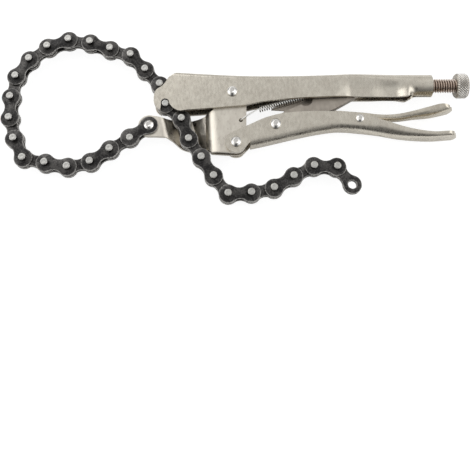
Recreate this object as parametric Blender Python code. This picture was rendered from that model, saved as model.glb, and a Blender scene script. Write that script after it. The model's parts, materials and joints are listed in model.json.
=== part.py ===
"""Locking chain clamp, modelled at its real size as separate pieces.

The tool lies on its side. +X runs along the handles toward the adjusting knob,
+Y points to the back of the upper handle, and +Z runs along every rivet and
chain pin, toward the near side. All shapes are drawn around the jaw rivet in
the tool's middle plane, and one empty then sets the finished tool down with
its lowest face at Z = 0 and its outline centred on the origin.
"""
import math

import bmesh
import bpy
import numpy as np
from mathutils import Vector

MM = 0.001

# Sheet metal and running clearances
SHEET = 2.5 * MM
GAP = 0.3 * MM
CUT_OVERRUN = 6.0 * MM
MERGE_DISTANCE = 0.003 * MM
ROUND_SEGMENTS = 20
SMALL_HOLE_SEGMENTS = 12
BEND_SEGMENTS = 5
TIP_SEGMENTS = 10
SHARP_ANGLE = math.radians(35)

# Upper handle: a folded channel whose rear is rolled round the screw
CHANNEL_WIDTH = 15.0 * MM
UPPER_CORNER_RADIUS = 3.0 * MM
LOWER_CORNER_RADIUS = 5.0 * MM
CORNER_SHARE = 0.8
CORNER_LEAST_SHARE = 0.15
UPPER_FRONT = 55.3 * MM
UPPER_REAR = 142.8 * MM
UPPER_BACK_HEIGHT = 13.0 * MM
UPPER_BROW_RISE = 2.1 * MM
UPPER_BROW_X = 39.8 * MM
UPPER_BELLY_DEPTH = 11.0 * MM
UPPER_THROAT_DEPTH = 3.0 * MM
BARREL_RADIUS = 8.0 * MM
BARREL_LENGTH = 10.5 * MM
BARREL_CLOSING = 8.5 * MM
BARREL_RAMP = 42.6 * MM
RAMP_CORNER_RADIUS = 7.2 * MM
RAMP_RISE = 1.9 * MM
BARREL_SLIT = 0.8 * MM
BARREL_RAMP_STATIONS = 4
BARREL_CLOSING_STATIONS = 4
UPPER_BLANK_SHARE = 1.7
HOOK_CLEARANCE = 0.45 * MM

# Adjusting screw and its knob
SCREW_AXIS_HEIGHT = 6.9 * MM
SCREW_RADIUS = 5.0 * MM
SCREW_TIP_X = 101.0 * MM
SCREW_TIP_CHAMFER = 1.2 * MM
SCREW_POINT_RADIUS = 3.6 * MM
SCREW_POINT_LENGTH = 30.0 * MM
KNOB_RADIUS = 9.3 * MM
KNOB_LENGTH = 8.4 * MM
KNOB_CHAMFER = 1.4 * MM
KNOB_STANDOFF = 17.2 * MM

# Places of the rivets, from the jaw rivet
HANDLE_RIVET_X = 2.7 * MM
HANDLE_RIVET_DROP = 37.2 * MM
TOGGLE_RIVET_X = 30.4 * MM
TOGGLE_RIVET_DROP_SHARE = 0.6505
LEVER_RIVET_X = 89.3 * MM
LEVER_RIVET_DROP_SHARE = 0.541
CHAIN_RIVET_X = 58.5 * MM
CHAIN_RIVET_DROP_SHARE = 0.6398

# Rivets
RIVET_RADIUS = 3.2 * MM
RIVET_HEAD_RADIUS = 3.9 * MM
RIVET_DOME = 1.9 * MM
LEVER_RIVET_RADIUS = 2.3 * MM
LEVER_RIVET_HEAD_RADIUS = 2.9 * MM
LEVER_RIVET_DOME = 1.1 * MM
CHAIN_RIVET_RADIUS = 2.9 * MM
CHAIN_RIVET_HEAD_RADIUS = 3.65 * MM
CHAIN_RIVET_DOME = 1.6 * MM

# Lower jaw: pressed plate with two cheeks, a trough for the chain and a nose
JAW_WIDTH = CHANNEL_WIDTH - 2 * SHEET - 2 * GAP
JAW_TOP = 8.0 * MM
JAW_REAR = 10.0 * MM
JAW_FOOT_RADIUS = 7.2 * MM
JAW_PIVOT_RADIUS = 8.0 * MM
NOSE_RADIUS = 7.7 * MM
NOSE_WIDTH = 4.0 * MM
TROUGH_CLEARANCE = 0.4 * MM
DOUBLER_SHARE = 0.8
SPRING_HOLE_X = 6.1 * MM
SPRING_HOLE_DROP_SHARE = 0.5565
SPRING_HOLE_RADIUS = 1.4 * MM

# Lower handle: a folded channel, open at the top, with lugs at the front
LOWER_TAIL_X = 154.4 * MM
LOWER_LUG_RADIUS = 7.6 * MM
LOWER_WEB_START = 12.5 * MM
LOWER_BLANK_SHARE = 1.5
TIP_MARGIN = 0.2 * MM

# Toggle link
TOGGLE_WIDTH = 6.0 * MM
TOGGLE_EYE_RADIUS = 6.4 * MM
TOGGLE_BACK = 6.9 * MM
TOGGLE_BELLY = 6.0 * MM
TOGGLE_TIP_RADIUS = 3.6 * MM
TOGGLE_TIP_CLEARANCE = 1.1 * MM
TOGGLE_TIP_DROP = 0.9 * MM
TOGGLE_NOTCH_RADIUS = 5.0 * MM
TOGGLE_NOTCH_SHARE = 0.386
TOGGLE_NOTCH_RISE_SHARE = 0.41

# Release lever
LEVER_SIDE_GAP = 0.4 * MM
LEVER_SHEET = 1.8 * MM
LEVER_CORNER_RADIUS = 2.6 * MM

# Tension spring
SPRING_WIRE = 0.9 * MM
SPRING_RADIUS = 1.85 * MM
SPRING_TURNS = 17
SPRING_POINTS = 9
SPRING_START_X = 19.0 * MM
SPRING_START_DROP = 11.4 * MM
SPRING_END_X = 51.5 * MM
SPRING_END_DROP = 1.7 * MM
SPRING_SIDE = 1.2 * MM
ANCHOR_X = 60.0 * MM
ANCHOR_WIDTH = 6.0 * MM
ANCHOR_SHEET = 2.0 * MM
ANCHOR_HOLE_RADIUS = 1.2 * MM
ANCHOR_EDGE = 1.6 * MM

# Chain
PITCH = 15.875 * MM
PLATE_THICKNESS = 1.3 * MM
PLATE_RADIUS = 6.5 * MM
PLATE_WAIST = 4.0 * MM
INNER_LINK_WIDTH = 4.2 * MM
PIN_RADIUS = 2.5 * MM
PIN_OVERHANG = 3.5 * MM
FLUSH_PIN_OVERHANG = 0.3 * MM
BUSH_WALL = 1.1 * MM
BORE_CLEARANCE = 0.42 * MM
PIN_SEGMENTS = 10
PLATE_END_SEGMENTS = 6
PLATE_WAIST_SEGMENTS = 3

# Heading of each link in degrees, from the jaw's nose round the loop to the
# hook, then down through the trough and out along the free tail
LINK_HEADINGS = (
    -146.0, -147.0, -145.0, -167.0, 169.5, 167.5, 118.5, 107.0, 92.5, 82.0,
    58.0, 39.0, 20.0, -7.0, -19.5, -18.0, -46.5, -46.5, -73.0,
    -43.0, -70.0, -56.0, -57.0, -51.0, 2.5, 12.0, 31.5, 27.0, -2.0, -50.0,
)
HOOK_PIN_COUNT = 19

# Heights and half widths that follow from the sizes above
TOGGLE_RIVET_DROP = HANDLE_RIVET_DROP * TOGGLE_RIVET_DROP_SHARE
LEVER_RIVET_DROP = HANDLE_RIVET_DROP * LEVER_RIVET_DROP_SHARE
CHAIN_RIVET_DROP = HANDLE_RIVET_DROP * CHAIN_RIVET_DROP_SHARE
SPRING_HOLE_DROP = HANDLE_RIVET_DROP * SPRING_HOLE_DROP_SHARE
JAW_BOTTOM = HANDLE_RIVET_DROP + JAW_FOOT_RADIUS
RAMP_START = UPPER_REAR - BARREL_LENGTH - BARREL_CLOSING - BARREL_RAMP
CHANNEL_HALF = CHANNEL_WIDTH / 2
CHANNEL_INSIDE = CHANNEL_HALF - SHEET
JAW_HALF = JAW_WIDTH / 2
LEVER_HALF = CHANNEL_INSIDE - LEVER_SIDE_GAP
INNER_HALF = INNER_LINK_WIDTH / 2
OUTER_INSIDE = INNER_HALF + GAP
OUTER_HALF = OUTER_INSIDE + PLATE_THICKNESS
PIN_HALF = OUTER_HALF + PIN_OVERHANG
TROUGH_FACE = -(PIN_HALF + TROUGH_CLEARANCE)
REST_FACE = TROUGH_FACE - SHEET
JAW_RIVET = Vector((0, 0, 0))
HANDLE_RIVET = Vector((HANDLE_RIVET_X, -HANDLE_RIVET_DROP, 0))
TOGGLE_RIVET = Vector((TOGGLE_RIVET_X, -TOGGLE_RIVET_DROP, 0))
LEVER_RIVET = Vector((LEVER_RIVET_X, -LEVER_RIVET_DROP, 0))
CHAIN_RIVET = Vector((-CHAIN_RIVET_X, -CHAIN_RIVET_DROP, 0))


def chain_pins():
    """Centres of all chain pins, one pitch apart along the link headings."""
    places = [CHAIN_RIVET.copy()]
    for heading in LINK_HEADINGS:
        turn = math.radians(heading)
        step = Vector((math.cos(turn), math.sin(turn), 0)) * PITCH
        places.append(places[-1] + step)
    return places


PINS = chain_pins()
HOOK = PINS[HOOK_PIN_COUNT]


def clear_scene():
    for item in list(bpy.data.objects):
        bpy.data.objects.remove(item, do_unlink=True)


def metal(name, colour, roughness):
    """A plain metal finish: colour as an sRGB hex triplet."""
    material = bpy.data.materials.new(name)
    material.use_nodes = True
    shader = material.node_tree.nodes["Principled BSDF"]
    parts = [int(colour[i:i + 2], 16) / 255 for i in (0, 2, 4)]
    linear = [((c + 0.055) / 1.055) ** 2.4 if c > 0.04 else c / 12.92 for c in parts]
    shader.inputs["Base Color"].default_value = (*linear, 1)
    shader.inputs["Metallic"].default_value = 1.0
    shader.inputs["Roughness"].default_value = roughness
    material.diffuse_color = (*linear, 1)
    return material


def arc(centre, radius, start, end, steps):
    """Points along an arc, angles in degrees, both ends included."""
    points = []
    for i in range(steps + 1):
        turn = math.radians(start + (end - start) * i / steps)
        points.append((centre[0] + radius * math.cos(turn), centre[1] + radius * math.sin(turn)))
    return points


def circle(centre, radius, segments=ROUND_SEGMENTS):
    return arc(centre, radius, 0, 360 - 360 / segments, segments - 1)


def prism(outline, low, high):
    """A closed solid: the outline in X and Y, filled and extruded from low to high."""
    mesh = bmesh.new()
    ring = [mesh.verts.new((x, y, low)) for x, y in outline]
    floor = mesh.faces.new(ring)
    lifted = bmesh.ops.extrude_face_region(mesh, geom=[floor])
    top = [item for item in lifted["geom"] if isinstance(item, bmesh.types.BMVert)]
    bmesh.ops.translate(mesh, vec=(0, 0, high - low), verts=top)
    bmesh.ops.recalc_face_normals(mesh, faces=mesh.faces)
    return mesh


def plan_prism(outline, low, high):
    """A closed solid: the outline in X and Z, extruded along Y from low to high."""
    mesh = prism(outline, low, high)
    for vert in mesh.verts:
        vert.co = (vert.co.x, vert.co.z, vert.co.y)
    bmesh.ops.recalc_face_normals(mesh, faces=mesh.faces)
    return mesh


def round_ended(start, end, half, low, high):
    """A long bar, seen from above with a round end, that trims a tail's tip."""
    outline = [(start, half), (start, -half)]
    outline += arc((end - half, 0), half, -90, 90, TIP_SEGMENTS)
    return plan_prism(outline, low, high)


def eased(step):
    """A smooth step from 0 to 1."""
    return step * step * (3 - 2 * step)


def lathe(profile, axis_point, axis, segments):
    """A turned solid: (radius, distance) pairs, spun about an axis."""
    mesh = bmesh.new()
    side = Vector((0, 1, 0)) if abs(axis.x) > 0 else Vector((1, 0, 0))
    line = [mesh.verts.new(axis_point + axis * along + side * radius) for radius, along in profile]
    edges = [mesh.edges.new(pair) for pair in zip(line, line[1:])]
    bmesh.ops.spin(
        mesh, geom=line + edges, cent=axis_point, axis=axis,
        angle=2 * math.pi, steps=segments, use_merge=True, use_duplicate=False,
    )
    bmesh.ops.remove_doubles(mesh, verts=mesh.verts, dist=MERGE_DISTANCE)
    bmesh.ops.recalc_face_normals(mesh, faces=mesh.faces)
    return mesh


def pin_solid(place, radius, low, high, segments=ROUND_SEGMENTS):
    """A plain round bar along Z."""
    return prism(circle(place, radius, segments), low, high)


def evaluated(item):
    """The item's mesh with its modifiers applied."""
    graph = bpy.context.evaluated_depsgraph_get()
    return bpy.data.meshes.new_from_object(item.evaluated_get(graph))


def combine(base, others, operation):
    """Unite, cut or trim one solid by others, in order."""
    mesh = bpy.data.meshes.new("base")
    base.to_mesh(mesh)
    base.free()
    for other in others:
        body = bpy.data.objects.new("base", mesh)
        tool_mesh = bpy.data.meshes.new("tool")
        other.to_mesh(tool_mesh)
        other.free()
        tool = bpy.data.objects.new("tool", tool_mesh)
        for item in (body, tool):
            bpy.context.collection.objects.link(item)
        modifier = body.modifiers.new("combine", "BOOLEAN")
        modifier.operation = operation
        modifier.solver = "EXACT"
        modifier.object = tool
        bpy.context.view_layer.update()
        mesh = evaluated(body)
        for item in (body, tool):
            bpy.data.objects.remove(item, do_unlink=True)
    result = bmesh.new()
    result.from_mesh(mesh)
    return result


def join(base, *others):
    return combine(base, others, "UNION")


def cut(base, *others):
    return combine(base, others, "DIFFERENCE")


def trim(base, *others):
    return combine(base, others, "INTERSECT")


def channel(stations, sheet):
    """A folded channel, lofted along X.

    Each station is (x, web height, edge height, half width, roll, corner
    radius). The web is the closed side and the edges are the open side. Roll
    runs from 0, a plain channel, to 1, a round tube with a narrow slit.
    """
    rings = []
    for x, web, edge, half, roll, corner in stations:
        down = 1 if web > edge else -1
        section = []
        for wall in (0, sheet):
            side = half - wall
            top = web - down * wall
            bend = min(corner, CORNER_SHARE * abs(web - edge)) - wall
            bend = max(bend, CORNER_LEAST_SHARE * sheet)
            level = top - down * bend
            left = arc((bend - side, level), bend, 180, 180 - 90 * down, BEND_SEGMENTS)
            right = arc((side - bend, level), bend, 90 * down, 0, BEND_SEGMENTS)
            middle = (edge + level) / 2
            flat = [(-side, edge), (-side, middle)] + left
            flat += right + [(side, middle), (side, edge)]
            slit = math.degrees(math.asin(BARREL_SLIT / 2 / side))
            start = 270 - slit if down > 0 else 90 + slit
            sweep = (360 - 2 * slit) * down
            tube = arc((0, web - down * half), side, start, start - sweep, len(flat) - 1)
            blend = [
                (a[0] + (b[0] - a[0]) * roll, a[1] + (b[1] - a[1]) * roll)
                for a, b in zip(flat, tube)
            ]
            section.append(blend)
        rings.append([(x, y, z) for z, y in section[0] + section[1][::-1]])
    mesh = bmesh.new()
    loops = [[mesh.verts.new(point) for point in ring] for ring in rings]
    count = len(loops[0])
    for one, two in zip(loops, loops[1:]):
        for i in range(count):
            after = (i + 1) % count
            mesh.faces.new((one[i], one[after], two[after], two[i]))
    for loop in (loops[0], loops[-1]):
        for i in range(count // 2 - 1):
            mesh.faces.new((loop[i], loop[i + 1], loop[count - 2 - i], loop[count - 1 - i]))
    bmesh.ops.recalc_face_normals(mesh, faces=mesh.faces)
    return mesh


def finished(mesh, name, material):
    """Mesh data with its finish, smooth but for its sharp edges."""
    data = bpy.data.meshes.new(name)
    mesh.to_mesh(data)
    mesh.free()
    data.materials.clear()
    data.materials.append(material)
    data.shade_smooth()
    data.set_sharp_from_angle(angle=SHARP_ANGLE)
    return data


def place(mesh, name, material, frame, pivot=Vector((0, 0, 0))):
    """Make the finished piece an object whose origin is on its pivot."""
    bmesh.ops.translate(mesh, vec=-pivot, verts=mesh.verts)
    item = bpy.data.objects.new(name, finished(mesh, name, material))
    item.location = pivot
    item.parent = frame
    bpy.context.collection.objects.link(item)
    return item


# Upper handle

# Web height along the handle, as shares of its back height, by place as a
# share of the reach to the front, or to the start of the ramp
UPPER_STATION_SHARES = (
    (-1.069, 1.22), (-0.73, 1.17), (-0.182, 1.035), (0.16, 0.965), (0.586, 0.975),
    (0.888, 1.035),
)
# The nose outline around the hook pin, as shares of the plate radius
NOSE_BACK_SHARES = ((0.30, 2.95), (-0.30, 2.02), (-1.05, 1.42), (-1.24, 0.30))
NOSE_CHIN_SHARES = ((-1.06, -0.34), (-0.50, -0.80))
NOSE_HEEL_SHARES = ((0.52, -0.18), (0.84, -0.55), (1.30, -0.84), (1.72, -0.92))
# Lower edge of the side plates: place as above, depth as a share of the belly
# depth
UPPER_EDGE_SHARES = (
    (-0.574, 1.25), (-0.326, 1.15), (-0.052, 1.02), (0.1065, 0.93), (0.245, 0.71),
    (0.435, 0.53), (0.595, 0.42),
)


def upper_place(share):
    """Place along the upper handle: a negative share lies before the jaw rivet."""
    return share * (UPPER_FRONT if share < 0 else RAMP_START)


def upper_handle():
    """Folded channel with a hooked nose, rolled to a barrel at the rear."""
    belly = -UPPER_BELLY_DEPTH * UPPER_BLANK_SHARE
    stations = []
    for share, height in UPPER_STATION_SHARES:
        stations.append((upper_place(share), UPPER_BACK_HEIGHT * height, belly,
                         CHANNEL_HALF, 0, UPPER_CORNER_RADIUS))
    ramp_top = UPPER_BACK_HEIGHT + RAMP_RISE
    edge = -UPPER_THROAT_DEPTH
    for i in range(BARREL_RAMP_STATIONS + 1):
        step = i / BARREL_RAMP_STATIONS
        web = UPPER_BACK_HEIGHT + RAMP_RISE * (1 + step) / 2
        corner = UPPER_CORNER_RADIUS + (RAMP_CORNER_RADIUS - UPPER_CORNER_RADIUS) * eased(step)
        stations.append((RAMP_START + BARREL_RAMP * step, web, edge, CHANNEL_HALF, 0, corner))
    barrel_top = SCREW_AXIS_HEIGHT + BARREL_RADIUS
    for i in range(1, BARREL_CLOSING_STATIONS + 1):
        step = i / BARREL_CLOSING_STATIONS
        ease = eased(step)
        x = RAMP_START + BARREL_RAMP + BARREL_CLOSING * step
        web = ramp_top + (barrel_top - ramp_top) * ease
        half = CHANNEL_HALF + (BARREL_RADIUS - CHANNEL_HALF) * ease
        stations.append((x, web, edge, half, ease, RAMP_CORNER_RADIUS))
    stations.append((UPPER_REAR, barrel_top, edge, BARREL_RADIUS, 1, RAMP_CORNER_RADIUS))
    shell = channel(stations, SHEET)

    def by_hook(shares):
        return [(HOOK.x + PLATE_RADIUS * a, HOOK.y + PLATE_RADIUS * b) for a, b in shares]

    notch = PIN_RADIUS + HOOK_CLEARANCE
    brow = (-UPPER_BROW_X, UPPER_BACK_HEIGHT + UPPER_BROW_RISE)
    outline = [(brow[0] + SHEET, brow[1] + CUT_OVERRUN), brow]
    outline += by_hook(NOSE_BACK_SHARES)
    outline += by_hook(NOSE_CHIN_SHARES)
    outline += arc(HOOK, notch, 200, 0, 8)
    outline += by_hook(NOSE_HEEL_SHARES)
    outline += [(upper_place(a), -UPPER_BELLY_DEPTH * b) for a, b in UPPER_EDGE_SHARES]
    outline += [(RAMP_START, edge)]
    low = belly - CUT_OVERRUN
    outline += [(outline[-1][0], low), (-UPPER_FRONT - CUT_OVERRUN, low)]
    outline += [(-UPPER_FRONT - CUT_OVERRUN, brow[1] + CUT_OVERRUN)]
    side = CHANNEL_HALF + CUT_OVERRUN
    hole = pin_solid(JAW_RIVET, RIVET_RADIUS + GAP, -side, side)
    shell = cut(shell, prism(outline, -side, side), hole)

    anchor_low = -SPRING_END_DROP + SPRING_RADIUS
    half = ANCHOR_WIDTH / 2
    top = UPPER_BACK_HEIGHT - SHEET / 2
    tab = prism(
        [(ANCHOR_X - half, anchor_low), (ANCHOR_X + half, anchor_low),
         (ANCHOR_X + half, top), (ANCHOR_X - half, top)],
        SPRING_SIDE - ANCHOR_SHEET / 2, SPRING_SIDE + ANCHOR_SHEET / 2,
    )
    eye = anchor_eye()
    bore = pin_solid(eye, ANCHOR_HOLE_RADIUS, -CHANNEL_HALF / 2, CHANNEL_HALF / 2,
                     SMALL_HOLE_SEGMENTS)
    return cut(join(shell, tab), bore)


def anchor_eye():
    """Centre of the hole in the spring tab."""
    return (ANCHOR_X, -SPRING_END_DROP + SPRING_RADIUS + ANCHOR_EDGE + ANCHOR_HOLE_RADIUS)


# Adjusting screw

def adjusting_screw():
    """Threaded shank with its knurled knob, turned in one piece."""
    shank_end = UPPER_REAR + KNOB_STANDOFF
    knob_end = shank_end + KNOB_LENGTH
    profile = [
        (0, SCREW_TIP_X),
        (SCREW_POINT_RADIUS - SCREW_TIP_CHAMFER, SCREW_TIP_X),
        (SCREW_POINT_RADIUS, SCREW_TIP_X + SCREW_TIP_CHAMFER),
        (SCREW_POINT_RADIUS, SCREW_TIP_X + SCREW_POINT_LENGTH),
        (SCREW_RADIUS, SCREW_TIP_X + SCREW_POINT_LENGTH),
        (SCREW_RADIUS, shank_end),
        (KNOB_RADIUS - KNOB_CHAMFER, shank_end),
        (KNOB_RADIUS, shank_end + KNOB_CHAMFER),
        (KNOB_RADIUS, knob_end - KNOB_CHAMFER),
        (KNOB_RADIUS - KNOB_CHAMFER, knob_end),
        (0, knob_end),
    ]
    return lathe(profile, Vector((0, SCREW_AXIS_HEIGHT, 0)), Vector((1, 0, 0)), ROUND_SEGMENTS)


# Lower jaw

# Fold lines of the pressed plate: each crosses the plate from top to bottom,
# as shares of the nose reach, so the trough leans the way the chain runs
NOSE_FOLD_SHARES = (-0.80, -0.69)
FLOOR_FRONT_SHARES = (-0.735, -0.61)
FLOOR_REAR_SHARES = (-0.465, -0.355)
CHEEK_FOLD_SHARES = (-0.32, -0.19)
JAW_FOLD_TOP_SHARE = 0.45
JAW_FOLD_BOTTOM_SHARE = 1.13
# Outline of the pressing: x as shares of the nose reach, y as shares of the
# drop to the handle rivet
JAW_BACK_SHARES = ((-0.22, 0.33), (-0.37, 0.45), (-0.56, 0.47), (-0.80, 0.48))
JAW_UNDER_SHARES = (
    (-0.92, 0.845), (-0.80, 0.86), (-0.72, 0.91), (-0.62, 1.02), (-0.50, 1.08),
    (-0.33, 1.10), (-0.24, 1.165),
)


def jaw_outline():
    """Side outline of the jaw pressing, from the pivot round the nose and back."""
    points = arc(JAW_RIVET, JAW_PIVOT_RADIUS, 0, 180, 8)
    points += [(CHAIN_RIVET_X * a, -HANDLE_RIVET_DROP * b) for a, b in JAW_BACK_SHARES]
    points += arc(CHAIN_RIVET, NOSE_RADIUS, 80, 265, 12)
    points += [(CHAIN_RIVET_X * a, -HANDLE_RIVET_DROP * b) for a, b in JAW_UNDER_SHARES]
    points += arc(HANDLE_RIVET, JAW_FOOT_RADIUS, 260, 370, 6)
    points += [(JAW_REAR, -SPRING_HOLE_DROP), (JAW_REAR, -JAW_PIVOT_RADIUS)]
    return points


def on_fold(place_top, place_bottom, y):
    """Where a fold line that crosses the plate from top to bottom is at a height."""
    top = -HANDLE_RIVET_DROP * JAW_FOLD_TOP_SHARE
    bottom = -HANDLE_RIVET_DROP * JAW_FOLD_BOTTOM_SHARE
    return place_top + (place_bottom - place_top) * (y - top) / (bottom - top)


def jaw_plate():
    """The pressed plate as one folded sheet: nose, trough, front web, near cheek."""
    nose_level = NOSE_WIDTH / 2 - SHEET / 2
    floor_level = TROUGH_FACE - SHEET / 2
    cheek_level = JAW_HALF - SHEET / 2
    front = -CHAIN_RIVET_X - NOSE_RADIUS - CUT_OVERRUN
    rear = JAW_REAR + CUT_OVERRUN

    def fold(start, end, start_level, end_level):
        lines = []
        for i in range(BEND_SEGMENTS + 1):
            step = i / BEND_SEGMENTS
            ease = eased(step)
            pair = [CHAIN_RIVET_X * (a + (b - a) * step) for a, b in zip(start, end)]
            lines.append((*pair, start_level + (end_level - start_level) * ease))
        return lines

    lines = [(front, front, nose_level)]
    lines += fold(NOSE_FOLD_SHARES, FLOOR_FRONT_SHARES, nose_level, floor_level)
    lines += fold(FLOOR_REAR_SHARES, CHEEK_FOLD_SHARES, floor_level, cheek_level)
    lines += [(rear, rear, cheek_level)]
    mesh = bmesh.new()
    columns = []
    for x_top, x_bottom, level in lines:
        column = []
        for y in (JAW_TOP + CUT_OVERRUN, -JAW_BOTTOM - CUT_OVERRUN):
            column.append(mesh.verts.new((on_fold(x_top, x_bottom, y), y, level)))
        columns.append(column)
    for one, two in zip(columns, columns[1:]):
        mesh.faces.new((one[0], one[1], two[1], two[0]))
    bmesh.ops.recalc_face_normals(mesh, faces=mesh.faces)
    sheet = bpy.data.meshes.new("sheet")
    mesh.to_mesh(sheet)
    mesh.free()
    item = bpy.data.objects.new("sheet", sheet)
    bpy.context.collection.objects.link(item)
    modifier = item.modifiers.new("thickness", "SOLIDIFY")
    modifier.thickness = SHEET
    modifier.offset = 0
    modifier.use_even_offset = True
    bpy.context.view_layer.update()
    solid = bmesh.new()
    solid.from_mesh(evaluated(item))
    bpy.data.objects.remove(item, do_unlink=True)
    return solid


def lower_jaw():
    """Pressed jaw: folded plate, far cheek and doubled nose, trimmed as one."""
    def at_height(shares, y):
        return on_fold(CHAIN_RIVET_X * shares[0], CHAIN_RIVET_X * shares[1], y)

    top = JAW_TOP + CUT_OVERRUN
    low = -JAW_BOTTOM - CUT_OVERRUN
    rear = JAW_REAR + CUT_OVERRUN
    middle = tuple((a + b) / 2 for a, b in zip(FLOOR_REAR_SHARES, CHEEK_FOLD_SHARES))
    far_cheek = prism(
        [(at_height(middle, top), top), (at_height(middle, low), low), (rear, low), (rear, top)],
        -JAW_HALF, -JAW_HALF + SHEET,
    )
    front = -CHAIN_RIVET_X - NOSE_RADIUS - CUT_OVERRUN
    doubler = prism(
        [(front, top), (front, low), (at_height(NOSE_FOLD_SHARES, low) + SHEET / 2, low),
         (at_height(NOSE_FOLD_SHARES, top) + SHEET / 2, top)],
        -NOSE_WIDTH / 2, NOSE_WIDTH / 2 - SHEET * DOUBLER_SHARE,
    )
    reach = CHANNEL_HALF + CUT_OVERRUN
    blank = join(jaw_plate(), far_cheek, doubler)
    blank = trim(blank, prism(jaw_outline(), -reach, reach))
    hook_hole = (SPRING_HOLE_X, -SPRING_HOLE_DROP)
    return cut(
        blank,
        pin_solid(JAW_RIVET, RIVET_RADIUS + GAP, -reach, reach),
        pin_solid(HANDLE_RIVET, RIVET_RADIUS + GAP, -reach, reach),
        pin_solid(CHAIN_RIVET, CHAIN_RIVET_RADIUS + GAP, -reach, reach),
        pin_solid(hook_hole, SPRING_HOLE_RADIUS, 0, reach, SMALL_HOLE_SEGMENTS),
    )


# Lower handle

# Stations of the folded channel: place as a share of the tail reach, web and
# edge depths as shares of the drop to the handle rivet
LOWER_STATION_SHARES = (
    (-0.06, 1.40, 0.45), (0.068, 1.40, 0.45), (0.081, 1.075, 0.66), (0.152, 1.01, 0.525),
    (0.23, 0.93, 0.44), (0.30, 0.86, 0.41), (0.38, 0.79, 0.398), (0.48, 0.735, 0.405),
    (0.58, 0.765, 0.43), (0.63, 0.80, 0.50), (0.70, 0.855, 0.595), (0.76, 0.885, 0.68),
    (0.83, 0.90, 0.755), (0.91, 0.90, 0.80), (0.96, 0.89, 0.80), (1.0, 0.87, 0.785),
)


def lower_handle():
    """Folded channel open to the toggle link, with round lugs at its front."""
    stations = []
    for share, web, edge in LOWER_STATION_SHARES:
        stations.append((
            LOWER_TAIL_X * share, -HANDLE_RIVET_DROP * web, -HANDLE_RIVET_DROP * edge,
            CHANNEL_HALF, 0, LOWER_CORNER_RADIUS,
        ))
    shell = channel(stations, SHEET)
    side = CHANNEL_HALF + CUT_OVERRUN
    low = -HANDLE_RIVET_DROP * LOWER_BLANK_SHARE - CUT_OVERRUN
    front = HANDLE_RIVET_X - LOWER_LUG_RADIUS - 2 * CUT_OVERRUN
    shell = trim(shell, round_ended(front, LOWER_TAIL_X, CHANNEL_HALF + TIP_MARGIN,
                                    low, CUT_OVERRUN))
    edge_y = -HANDLE_RIVET_DROP * LOWER_STATION_SHARES[2][2]
    web_y = -HANDLE_RIVET_DROP * LOWER_STATION_SHARES[2][1]
    outline = [(LOWER_WEB_START, CUT_OVERRUN), (LOWER_WEB_START, edge_y)]
    outline += arc(HANDLE_RIVET, LOWER_LUG_RADIUS, 120, 300, 10)
    outline += [(LOWER_WEB_START, web_y + SHEET), (LOWER_WEB_START, low)]
    outline += [(front, low), (front, CUT_OVERRUN)]
    window = prism(
        [(front, CUT_OVERRUN), (front, low), (LOWER_WEB_START, low),
         (LOWER_WEB_START, CUT_OVERRUN)],
        -CHANNEL_INSIDE, CHANNEL_INSIDE,
    )
    return cut(
        shell, prism(outline, -side, side), window,
        pin_solid(HANDLE_RIVET, RIVET_RADIUS + GAP, -side, side),
        pin_solid(TOGGLE_RIVET, RIVET_RADIUS + GAP, -side, side),
        pin_solid(LEVER_RIVET, LEVER_RIVET_RADIUS + GAP, -side, side),
    )


# Toggle link

# Under and upper edges: place as a share of the link's length, offset as a
# share of its belly or its back
TOGGLE_UNDER_SHARES = ((0.25, 1.0), (0.62, 1.0))
TOGGLE_UPPER_SHARES = ((0.80, 0.5), (0.58, 1.0), (0.20, 1.0))


def toggle_link():
    """Flat bar from the toggle rivet to the screw, notched for the spring."""
    tip_x = SCREW_TIP_X - TOGGLE_TIP_CLEARANCE - TOGGLE_TIP_RADIUS
    tip = Vector((tip_x, SCREW_AXIS_HEIGHT - TOGGLE_TIP_DROP, 0))
    along = (tip - TOGGLE_RIVET).normalized()
    across = Vector((-along.y, along.x, 0))
    length = (tip - TOGGLE_RIVET).length
    slope = math.degrees(math.atan2(along.y, along.x))

    def spot(step, offset):
        point = TOGGLE_RIVET + along * (length * step) + across * offset
        return (point.x, point.y)

    outline = arc(TOGGLE_RIVET, TOGGLE_EYE_RADIUS, slope + 110, slope + 255, 8)
    outline += [spot(a, -TOGGLE_BELLY * b) for a, b in TOGGLE_UNDER_SHARES]
    outline += arc(tip, TOGGLE_TIP_RADIUS, slope - 60, slope + 80, 6)
    outline += [spot(a, TOGGLE_BACK * b) for a, b in TOGGLE_UPPER_SHARES]
    half = TOGGLE_WIDTH / 2
    notch = spot(TOGGLE_NOTCH_SHARE, TOGGLE_BACK + TOGGLE_NOTCH_RADIUS * TOGGLE_NOTCH_RISE_SHARE)
    return cut(
        prism(outline, -half, half),
        pin_solid(notch, TOGGLE_NOTCH_RADIUS, -side_reach(), side_reach()),
        pin_solid(TOGGLE_RIVET, RIVET_RADIUS + GAP, -side_reach(), side_reach()),
    )


def side_reach():
    """How far the cross cutters pass both sides of the tool."""
    return CHANNEL_HALF + CUT_OVERRUN


# Release lever

# Stations: place as a share of the reach from the lever rivet to the tail
# tip, heights over the rivet as shares of its drop below the jaw rivet, and
# width as a share of the width inside the handle
LEVER_STATION_SHARES = (
    (-0.26, 0.17, 0.33, 1), (-0.16, -0.05, 0.31, 1), (-0.06, -0.21, 0.28, 1),
    (0.06, -0.21, 0.25, 1), (0.18, -0.06, 0.20, 1), (0.30, 0.0, 0.18, 1),
    (0.44, 0.02, 0.22, 1), (0.60, 0.10, 0.32, 1.2), (0.76, 0.155, 0.445, 1.5),
    (0.90, 0.26, 0.55, 1.65), (1.0, 0.38, 0.585, 1.65),
)


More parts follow.
